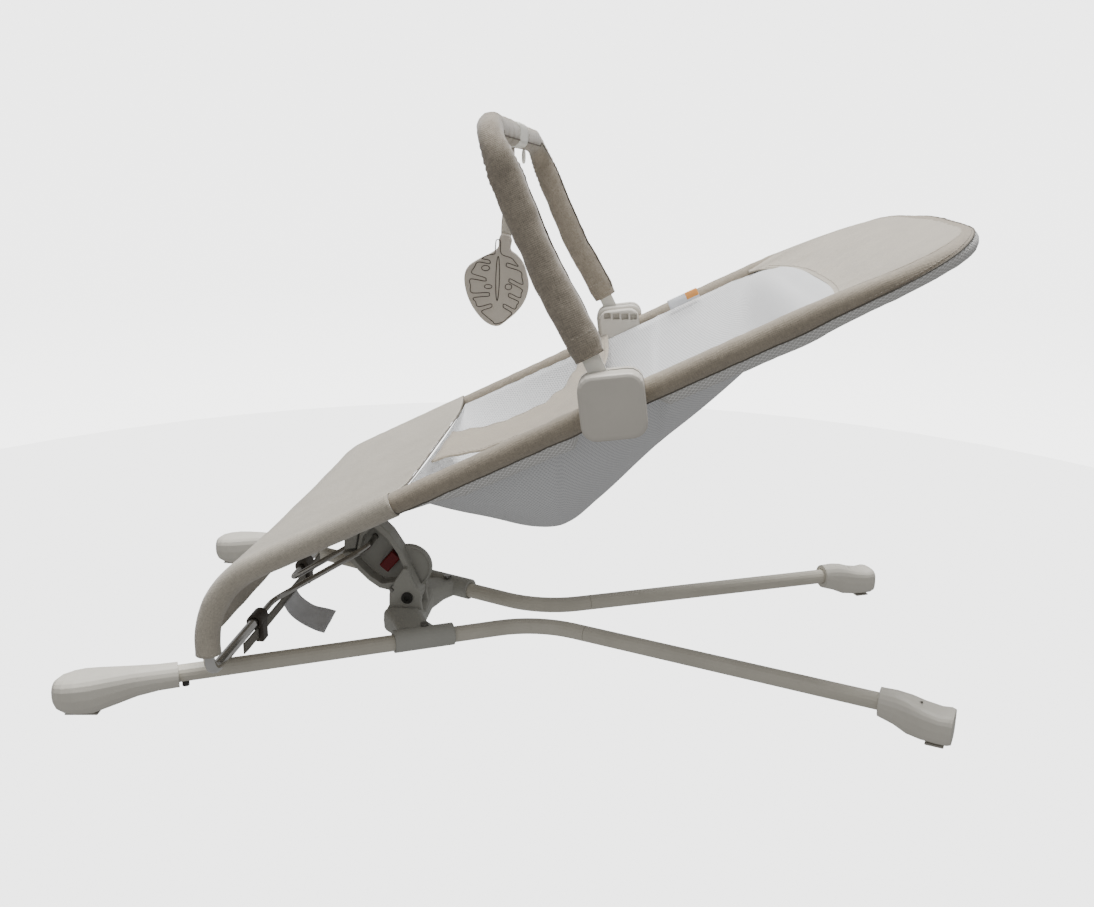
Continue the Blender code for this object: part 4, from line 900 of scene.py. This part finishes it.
FLAP_EDGE_Y = 0.1825
FLAP_EDGE_RISE = 0.006
FLAP_SAG = (
    (-0.2, -0.002), (-0.15, -0.014), (-0.12, -0.0175),
    (-0.09, -0.019), (-0.06, -0.017), (-0.01, -0.012),
)
FLAP_HALF = (
    (-0.1935, 0.06), (-0.15, 0.056), (-0.105, 0.06), (-0.075, 0.085), (-0.055, 0.13),
    (-0.044, FLAP_EDGE_Y), (-0.01, FLAP_EDGE_Y), (-0.014, 0.12), (-0.026, 0.06), (-0.03, 0.0),
)


def flap_height(along, y):
    share = min(abs(y) / FLAP_EDGE_Y, 1.0) ** 3
    sag = between(along, FLAP_SAG) * (1 - share) + FLAP_EDGE_RISE * share
    fold = math.sin(along * 260 + y * 40) * 0.001
    fold *= smooth((abs(y) - 0.03) / 0.05) * (1 - smooth((abs(y) - 0.15) / 0.03))
    return sag + fold + ripple(Vector((along, y * 0.6, 0)), 45.0, 0.0016, 8.0) * (1 - share)


def flap_outline():
    half = [Vector((along, y, 0)) for along, y in FLAP_HALF]
    lower = spline_through(half[:6], 8)
    upper = spline_through(half[6:], 8)
    right = lower + upper
    return right + [Vector((p.x, -p.y, 0)) for p in reversed(right[:-1])]


def cut_flat(bm, place, direction):
    """Adds a row of points across a flat piece, without taking any of it away."""
    everything = bm.verts[:] + bm.edges[:] + bm.faces[:]
    bmesh.ops.bisect_plane(bm, geom=everything, dist=1e-6, plane_co=place, plane_no=direction)


def flap():
    """The crotch flap: one sagging cloth that widens into wings beside the clamps."""
    bm = bmesh.new()
    layer = bm.loops.layers.uv.new("cloth")
    bm.faces.new([bm.verts.new(point) for point in flap_outline()])
    step = 0.0055
    for count in range(1, 35):
        cut_flat(bm, (-0.2 + count * step, 0, 0), (1, 0, 0))
    for count in range(-32, 33):
        cut_flat(bm, (0, count * step, 0), (0, 1, 0))
    for face in bm.faces:
        for loop in face.loops:
            loop[layer].uv = (loop.vert.co.x, loop.vert.co.y)
    for vertex in bm.verts:
        vertex.co = on_rail(vertex.co.x, vertex.co.y, flap_height(vertex.co.x, vertex.co.y))
    return thicken(new_object("flap_cloth", bm, ["flap"]), 0.002)


def flap_stitches():
    points = []
    for point in flap_outline():
        if abs(point.y) < 0.178:
            y = point.y * (1 - 0.0045 / max(abs(point.y), 0.02)) if point.x < -0.05 else point.y
            along = point.x if point.x < -0.05 else point.x - 0.004
            points.append(on_rail(along, y, flap_height(along, y) + 0.0011))
    middle = len(points) // 2
    return [
        stitches("flap_stitches_right", points[:middle], RIM_STITCH),
        stitches("flap_stitches_left", points[middle:], RIM_STITCH),
    ]


# ---------------------------------------------------------------- toy bar

BAR_ROWS = 130
BAR_COLUMNS = 32
SLEEVE_PRESSURE = 4.0
SLEEVE_CAP = 0.0012
PUFF_FRAMES = 14
# Points held at each end of a sleeve: its first and last nine rings
PUFF_HELD = 9 * BAR_COLUMNS


def bar_line(side):
    """The toy bar's middle line on one side, from above the tab to the joint."""
    low = [Vector((x, side * (BAR_HALF_WIDTH + out), z)) for (x, z), out in zip(BAR_PROFILE, BAR_SPLAY)]
    top_x, top_z = BAR_PROFILE[-1]
    corner = Vector((top_x, side * BAR_HALF_WIDTH, top_z))
    legs = spline_through([*low, corner], 8)
    end = Vector((top_x, side * (JOINT_HALF_LENGTH + 0.0004), top_z))
    cut = [point for point in legs if point.z < top_z - BAR_CORNER_R * 1.02]
    path = [*cut, corner, end]
    rounded = path[:-2] + rounded_path([path[-3], corner, end], [BAR_CORNER_R], 20)[1:]
    return resampled(rounded, BAR_ROWS)


def bar_frames(side):
    path = bar_line(side)
    frames = []
    for index, point in enumerate(path):
        ahead = heading(path, index)
        wide = Vector((0, 1, 0)).cross(ahead)
        if wide.length < 0.2:
            wide = Vector((1, 0, 0))
        wide = (wide - ahead * wide.dot(ahead)).normalized()
        if wide.x < 0:
            wide = -wide
        frames.append((point, wide, ahead.cross(wide), ahead))
    return frames


def bar_size(z):
    share = smooth((z - 0.47) / (BAR_PROFILE[-1][1] - 0.47))
    return 0.014 - 0.004 * share, 0.0095 + 0.002 * share


def bar_surface(frames, index, angle, side, proud=0.0):
    point, wide, thick, _ = frames[index]
    half_wide, half_thick = bar_size(point.z)
    cos, sin = math.cos(angle), math.sin(angle)
    squared = 2 / 2.5
    share = index / BAR_ROWS
    end_pull = 1 - 0.1 * (1 - smooth(min(share, 1 - share) * 26))
    bend = Vector((BAR_PROFILE[-1][0], side * 0.188, 0.5))
    corner = math.exp(-(((point - bend).length / 0.03) ** 2))
    fold = math.sin(share * 420) * 0.0009 * corner
    lump = ripple(point * 1.0 + wide * cos * 0.012 + thick * sin * 0.01, 60.0, 0.0011, 11.0 + side)
    lump += ripple(Vector((share * 9, cos * 0.5, sin * 0.5)), 5.0, 0.0005, 4.0 + side)
    reach = lump * 0.8 + fold - 0.0004 + proud
    x = math.copysign(abs(cos) ** squared, cos) * (half_wide * end_pull + reach)
    y = math.copysign(abs(sin) ** squared, sin) * (half_thick * end_pull + reach)
    return point + wide * x + thick * y


def bar_sleeve(side, name):
    """One padded sleeve of the toy bar, turned in at both ends."""
    frames = bar_frames(side)
    turns = 4

    def place(u, v):
        step = round(u * (BAR_ROWS + 2 * turns)) - turns
        index = min(max(step, 0), BAR_ROWS)
        angle = 2 * math.pi * v
        outer = bar_surface(frames, index, angle, side)
        if step == index:
            return outer
        into = abs(step - index) / turns
        point, _, _, ahead = frames[index]
        back = ahead * (0.0055 * into**1.5) * (1 if step < 0 else -1)
        return point + (outer - point) * (1 - 0.45 * math.sin(into * math.pi / 2)) + back

    obj = grid(name, BAR_ROWS + 2 * turns, BAR_COLUMNS, place, ["sleeve"], closed=True)
    return puffed(obj, SLEEVE_PRESSURE, SLEEVE_CAP)


def bar_seam(side, name):
    frames = bar_frames(side)
    points = [bar_surface(frames, index, 0.42 * -side, side, 0.0002) for index in range(3, BAR_ROWS - 1)]
    return cord_mesh(name, points, 0.00075, "piping", PIPING_SIDES)


def bar_hem(side, name, index):
    frames = bar_frames(side)
    points = [bar_surface(frames, index, 2 * math.pi * step / 40, side, 0.0001) for step in range(41)]
    return stitches(name, points, SLEEVE_STITCH)


# ---------------------------------------------------------------- hanging toy

LEAF_HALF_THICK = 0.0012
# The leaf's outline below its top, metres: the right side down, then the left side up
LEAF_RIGHT = (
    (0.0045, -0.0015), (0.006, -0.006), (0.005, -0.014), (0.011, -0.019), (0.0165, -0.026),
    (0.02, -0.036), (0.0217, -0.047), (0.019, -0.059), (0.012, -0.07), (0.001, -0.08),
)
LEAF_LEFT = (
    (-0.008, -0.0855), (-0.019, -0.082), (-0.03, -0.07), (-0.037, -0.055), (-0.039, -0.04),
    (-0.035, -0.03), (-0.025, -0.023), (-0.013, -0.017), (-0.007, -0.012), (-0.006, -0.004),
    (-0.003, 0.0),
)
# The drawn leaf's slits: height of the mouth, then the inner end's distance from the midrib and its height
SLITS_RIGHT = (
    (-0.031, 0.0075, -0.028), (-0.0485, 0.01, -0.0425),
    (-0.06, 0.0095, -0.056), (-0.0705, 0.0045, -0.066),
)
SLITS_LEFT = (
    (-0.0235, 0.0075, -0.0255), (-0.0385, 0.0115, -0.0415),
    (-0.057, 0.0085, -0.0555), (-0.069, 0.006, -0.066),
)
MIDRIB_X = -0.0068
# The drawn leaf's holes: middle and half size
HOLES = (
    (-0.0118, -0.0315, 0.0038, 0.0024), (-0.0095, -0.0485, 0.0036, 0.0019), (0.0095, -0.0485, 0.0031, 0.0026),
)


def leaf_blade():
    """The soft sheet itself, with rounded rims."""
    outline = [Vector((x, 0, z)) for x, z in LEAF_RIGHT + LEAF_LEFT]
    line = spline_through([*outline, outline[0]], 5)[:-1]
    bm = bmesh.new()
    layer = bm.loops.layers.uv.new("cloth")
    centre = Vector((-0.008, 0, -0.045))
    rings = []
    for depth, pull in ((-1.0, 0.0011), (-0.55, 0.0003), (0.0, 0.0), (0.55, 0.0003), (1.0, 0.0011)):
        ring = []
        for point in line:
            inner = point + (centre - point).normalized() * pull
            ring.append(bm.verts.new(TOY_TOP + inner + Vector((0, depth * LEAF_HALF_THICK, 0))))
        rings.append(ring)
    bridge(bm, rings)
    bm.faces.new(rings[0][::-1])
    bm.faces.new(rings[-1])
    bmesh.ops.recalc_face_normals(bm, faces=bm.faces)
    for face in bm.faces:
        for loop in face.loops:
            loop[layer].uv = (loop.vert.co.x, loop.vert.co.z)
    return new_object("leaf_blade", bm, ["leaf"], shade=False)


def leaf_edge(z, side):
    """Half the drawn leaf's width at a height below the toy's top."""
    share = min(max((z + 0.017) / -0.066, 0.0), 1.0)
    half = 0.0225 if side > 0 else 0.0262
    return max(math.sin(math.pi * share**0.82), 0.0) ** 0.62 * half


def leaf_drawing(face_y, name):
    """A stitched leaf drawn on one face: stem, lobes cut by slits, midrib and three holes."""

    def at(x, z):
        return TOY_TOP + Vector((MIDRIB_X + x, face_y, z))

    def lobes(side, top_z, slits, depths):
        """One side of the outline from the top down: a lobe above each slit, and one below the last."""
        line = []
        heights = (top_z, *[mouth for mouth, _, _ in slits], -0.083)
        for index, (top, bottom) in enumerate(zip(heights, heights[1:])):
            for share in (0.18, 0.5, 0.86):
                z = top + (bottom - top) * share
                line.append(at(side * leaf_edge(z, side), z))
            if index < len(slits):
                _, x, z = slits[index]
                steps = zip((0.0015, 0.0, 0.0012), depths)
                line += [at(side * (x + out), z + rise) for out, rise in steps]
        return line

    stem = ((-0.003, -0.0185), (-0.0022, -0.007), (0.0, -0.0055), (0.0022, -0.007), (0.0028, -0.018))
    points = [at(x, z) for x, z in stem]
    points += lobes(1, -0.02, SLITS_RIGHT, (0.0014, -0.0004, -0.0022))
    points.append(at(-0.003, -0.0832))
    left = lobes(-1, -0.019, SLITS_LEFT, (0.0014, -0.0002, -0.002))
    points += left[::-1]
    points.append(points[0])
    made = [cord_mesh(f"{name}_outline", spline_through(points, 6), 0.00036, "leaf_line", PIPING_SIDES)]
    rib = []
    for step in range(25):
        angle = 2 * math.pi * step / 24
        lean = 0.0012 * (1 - math.cos(angle)) * 0.5
        rib.append(at(math.sin(angle) * 0.0017 - lean, -0.041 + math.cos(angle) * 0.0205))
    made.append(cord_mesh(f"{name}_midrib", rib, 0.00036, "leaf_line", PIPING_SIDES))
    for number, (x, z, wide, high) in enumerate(HOLES):
        turns = [math.pi * step / 10 for step in range(21)]
        hole = [at(x + wide * math.cos(turn), z + high * math.sin(turn)) for turn in turns]
        made.append(cord_mesh(f"{name}_hole_{number}", hole, 0.00034, "leaf_line", PIPING_SIDES))
    return made


def ribbon():
    top = Vector((-0.003, TOY_Y + 0.0021, 0.499))
    foot = Vector((-0.0066, TOY_Y + 0.0021, 0.4167))

    def place(u, v):
        half = 0.0043 + 0.0006 * math.sin(u * 9)
        sway = ripple(Vector((u, 0, 0)), 3.0, 0.0006, 2.0) * math.sin(math.pi * u)
        return top.lerp(foot, u) + Vector(((2 * v - 1) * half, sway, 0))

    return thicken(grid("ribbon_cloth", 40, 6, place, ["ribbon"]), 0.0008)


# ---------------------------------------------------------------- labels and strap


def strap():
    """The webbing under the foot end, with its ends turned up a little."""

    def place(u, v):
        y = (2 * u - 1) * 0.1245
        lift = 0.0012 * smooth((abs(y) - 0.112) / 0.012)
        return Vector((FOOT_X + 0.0025 + lift * 0.4, y, 0.034 + (v - 0.5) * 0.0106 + lift))

    return thicken(grid("strap_cloth", 80, 6, place, ["strap"]), 0.0013)


def care_label():
    """A doubled satin label that curls to one side, with no lettering."""
    profile = ((-0.246, 0.033), (-0.24, 0.023), (-0.226, 0.013), (-0.204, 0.0062))
    line = resampled(spline_through([Vector((x, 0, z)) for x, z in profile], 8), 30)

    def place(u, v):
        point = line[round(u * 30)]
        y = -0.012 + 0.042 * v
        curl = 0.0035 * u * (v - 0.5) * 2 + ripple(Vector((u, v, 0)), 3.0, 0.0014, 5.0) * u
        return Vector((point.x + 0.0015 * u * v, y, max(point.z + curl, 0.0012)))

    return thicken(grid("care_label_cloth", 30, 16, place, ["label"]), 0.0009)


def side_label():
    """A plain sewn tag on the rim, half of it a coloured patch."""

    def place(u, v):
        along = 0.067 + 0.036 * u
        bulge = 0.0008 * math.sin(math.pi * v) + ripple(Vector((u, v, 0)), 4.0, 0.0005, 3.0)
        return on_rail(along, RAIL_Y - 0.0128 - 0.0026 * (1 - v) - bulge, 0.002 + 0.0105 * v)

    def pick(u, v):
        return 1 if u > 0.62 and v > 0.3 else 0

    return thicken(grid("side_label_cloth", 20, 8, place, ["label", "patch"], pick), 0.0009)


# ---------------------------------------------------------------- putting it together


def carry(obj, body, slot, *nodes):
    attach(obj, body)
    if nodes:
        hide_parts(*nodes)
    return obj


# The nodes that stay, by material; a name stands for its left and right, or its first and second
NODE_MATERIALS = {
    "paint": ("base_tube", "rear_tube"),
    "steel": ("tube_spigot", "hub_screw", "stop_pin", "clamp_screw"),
    "foot": ("front_foot", "rear_foot"),
    "rubber": ("front_pad", "rear_pad"),
    "dark": ("foot_button",),
    "hub": ("hub_saddle", "arm_shell", "wire_clamp"),
    "dark_steel": ("pivot_bolt", "pivot_nut"),
    "red": ("latch_button",),
    "chrome": ("rail", "head_bow"),
    "wire": ("spring_wire",),
    "collar": ("collar",),
    "sleeve_plastic": ("clamp_outer", "clamp_inner"),
    "joint": ("bar_tab", "bar_joint", "toy_ring"),
    "strip": ("bar_core",),
}


def dress_nodes():
    chosen = {stem: MATERIALS[key] for key, stems in NODE_MATERIALS.items() for stem in stems}
    for name, obj in NODES.items():
        stem = name
        for ending in ("_left", "_right", "_1", "_2"):
            stem = stem.removesuffix(ending)
        if stem not in chosen:
            continue
        if not obj.material_slots:
            obj.data.materials.append(chosen[stem])
        for slot in obj.material_slots:
            slot.material = chosen[stem]


def build_seat():
    covered = ("rail_cover_left", "rail_cover_right", "head_cover", "mesh_band_left", "mesh_band_right")
    rim = carry(rim_cover(), "seat", "taupe_fabric", *covered)
    carry(rim_piping(), "seat", "taupe_fabric")
    carry(rim_stitches(), "seat", "taupe_fabric")
    foot = carry(foot_cover(), "seat", "light_fabric", "foot_panel")
    carry(foot_hem(), "seat", "light_fabric")
    carry(foot_seam_cord(), "seat", "taupe_fabric")
    pocket = carry(sling(), "seat", "mesh_fabric", "sling_pocket")
    head = carry(head_panel(), "seat", "light_fabric", "head_panel")
    carry(mesh_end_stitches(0.0035, "mesh_end_stitches_inner"), "seat", "light_fabric")
    carry(mesh_end_stitches(0.008, "mesh_end_stitches_outer"), "seat", "light_fabric")
    cloth = carry(flap(), "seat", "taupe_fabric", "restraint_flap")
    for row in flap_stitches():
        carry(row, "seat", "taupe_fabric")
    band = carry(strap(), "seat", "strap_webbing", "foot_strap")
    tag = carry(care_label(), "seat", "label_white", "care_label")
    patch = carry(side_label(), "seat", "label_white", "side_label")


def build_toy_bar():
    for side, word in ((-1, "left"), (1, "right")):
        cloth = bar_sleeve(side, f"bar_sleeve_cloth_{word}")
        sleeve = carry(cloth, "toy_bar", "sleeve_fabric", f"bar_sleeve_{word}")
        carry(bar_seam(side, f"bar_seam_{word}"), "toy_bar", "sleeve_fabric")
        carry(bar_hem(side, f"bar_hem_low_{word}", 7), "toy_bar", "sleeve_fabric")
        carry(bar_hem(side, f"bar_hem_top_{word}", BAR_ROWS - 5), "toy_bar", "sleeve_fabric")


def build_toy():
    carry(leaf_blade(), "toy", "leaf_sheet", "leaf_toy")
    for face, word in ((-1, "near"), (1, "far")):
        for line in leaf_drawing(face * (LEAF_HALF_THICK + 0.0001), f"leaf_line_{word}"):
            carry(line, "toy", "leaf_sheet")
    hanger = carry(ribbon(), "toy", "ribbon", "toy_ribbon")


# ---------------------------------------------------------------- floor, light and camera


def stage_material():
    paint = Paint("studio_floor", "Object", Roughness=0.9, Specular_IOR_Level=0.1)
    cloud = paint.noise(0.8, 2.0)
    paint.colour(paint.shade(cloud, 0.3, 0.7, (0.44, 0.44, 0.437), (0.46, 0.46, 0.457)))
    paint.shader.inputs["Emission Color"].default_value = (1.0, 1.0, 0.995, 1.0)
    paint.shader.inputs["Emission Strength"].default_value = FLOOR_GLOW
    return paint.material


def floor():
    """A pale floor that curves up into a wall all round."""
    bm = bmesh.new()
    profile = [(1.2, -0.0004), (3.6, -0.0004)]
    for step in range(1, 9):
        angle = math.pi / 2 * step / 8
        profile.append((3.6 + 1.2 * math.sin(angle), 1.2 * (1 - math.cos(angle))))
    profile.append((4.8, 5.0))
    sides = 64
    rings = []
    turns = [2 * math.pi * side / sides for side in range(sides)]
    for radius, height in profile:
        ring = [(radius * math.cos(turn), radius * math.sin(turn), height) for turn in turns]
        rings.append([bm.verts.new(point) for point in ring])
    bm.faces.new(rings[0])
    bridge(bm, rings)
    MATERIALS["floor"] = stage_material()
    obj = new_object("studio_floor", bm, ["floor"])
    obj.visible_diffuse = False
    obj.visible_shadow = False
    obj.visible_glossy = False


def area_light(name, place, target, size, power):
    light = bpy.data.lights.new(name, "AREA")
    light.shape = "SQUARE"
    light.size = size
    light.energy = power
    obj = bpy.data.objects.new(name, light)
    obj.location = place
    obj.rotation_euler = (Vector(target) - Vector(place)).to_track_quat("-Z", "Y").to_euler()
    bpy.context.scene.collection.objects.link(obj)


def lighting():
    area_light("key_above", (0.05, 0.45, 2.6), (0.05, 0.0, 0.2), 1.9, 135.0)
    area_light("front_fill", (-0.6, -2.6, 1.3), (0.0, 0.0, 0.25), 2.0, 9.0)
    world = bpy.data.worlds.new("studio")
    bpy.context.scene.world = world
    world.use_nodes = True
    world.node_tree.nodes["Background"].inputs["Color"].default_value = (1.0, 1.0, 1.0, 1.0)
    world.node_tree.nodes["Background"].inputs["Strength"].default_value = WORLD_LIGHT


def camera():
    data = bpy.data.cameras.new("camera")
    data.sensor_fit = "HORIZONTAL"
    data.sensor_width = 36.0
    data.lens = CAMERA_LENS
    data.clip_start = 0.01
    obj = bpy.data.objects.new("camera", data)
    bpy.context.scene.collection.objects.link(obj)
    yaw, pitch, roll = CAMERA_YAW, CAMERA_PITCH, CAMERA_ROLL
    ahead = Vector((math.sin(yaw) * math.cos(pitch), math.cos(yaw) * math.cos(pitch), -math.sin(pitch)))
    right = Vector((math.cos(yaw), -math.sin(yaw), 0.0))
    up = right.cross(ahead)
    rolled_right = right * math.cos(roll) + up * math.sin(roll)
    rolled_up = up * math.cos(roll) - right * math.sin(roll)
    rows = Matrix((rolled_right, rolled_up, -ahead)).transposed().to_4x4()
    rows.translation = CAMERA_PLACE
    obj.matrix_world = rows
    bpy.context.scene.camera = obj


camera()
lighting()
floor()
dress_nodes()
build_seat()
build_toy_bar()
build_toy()
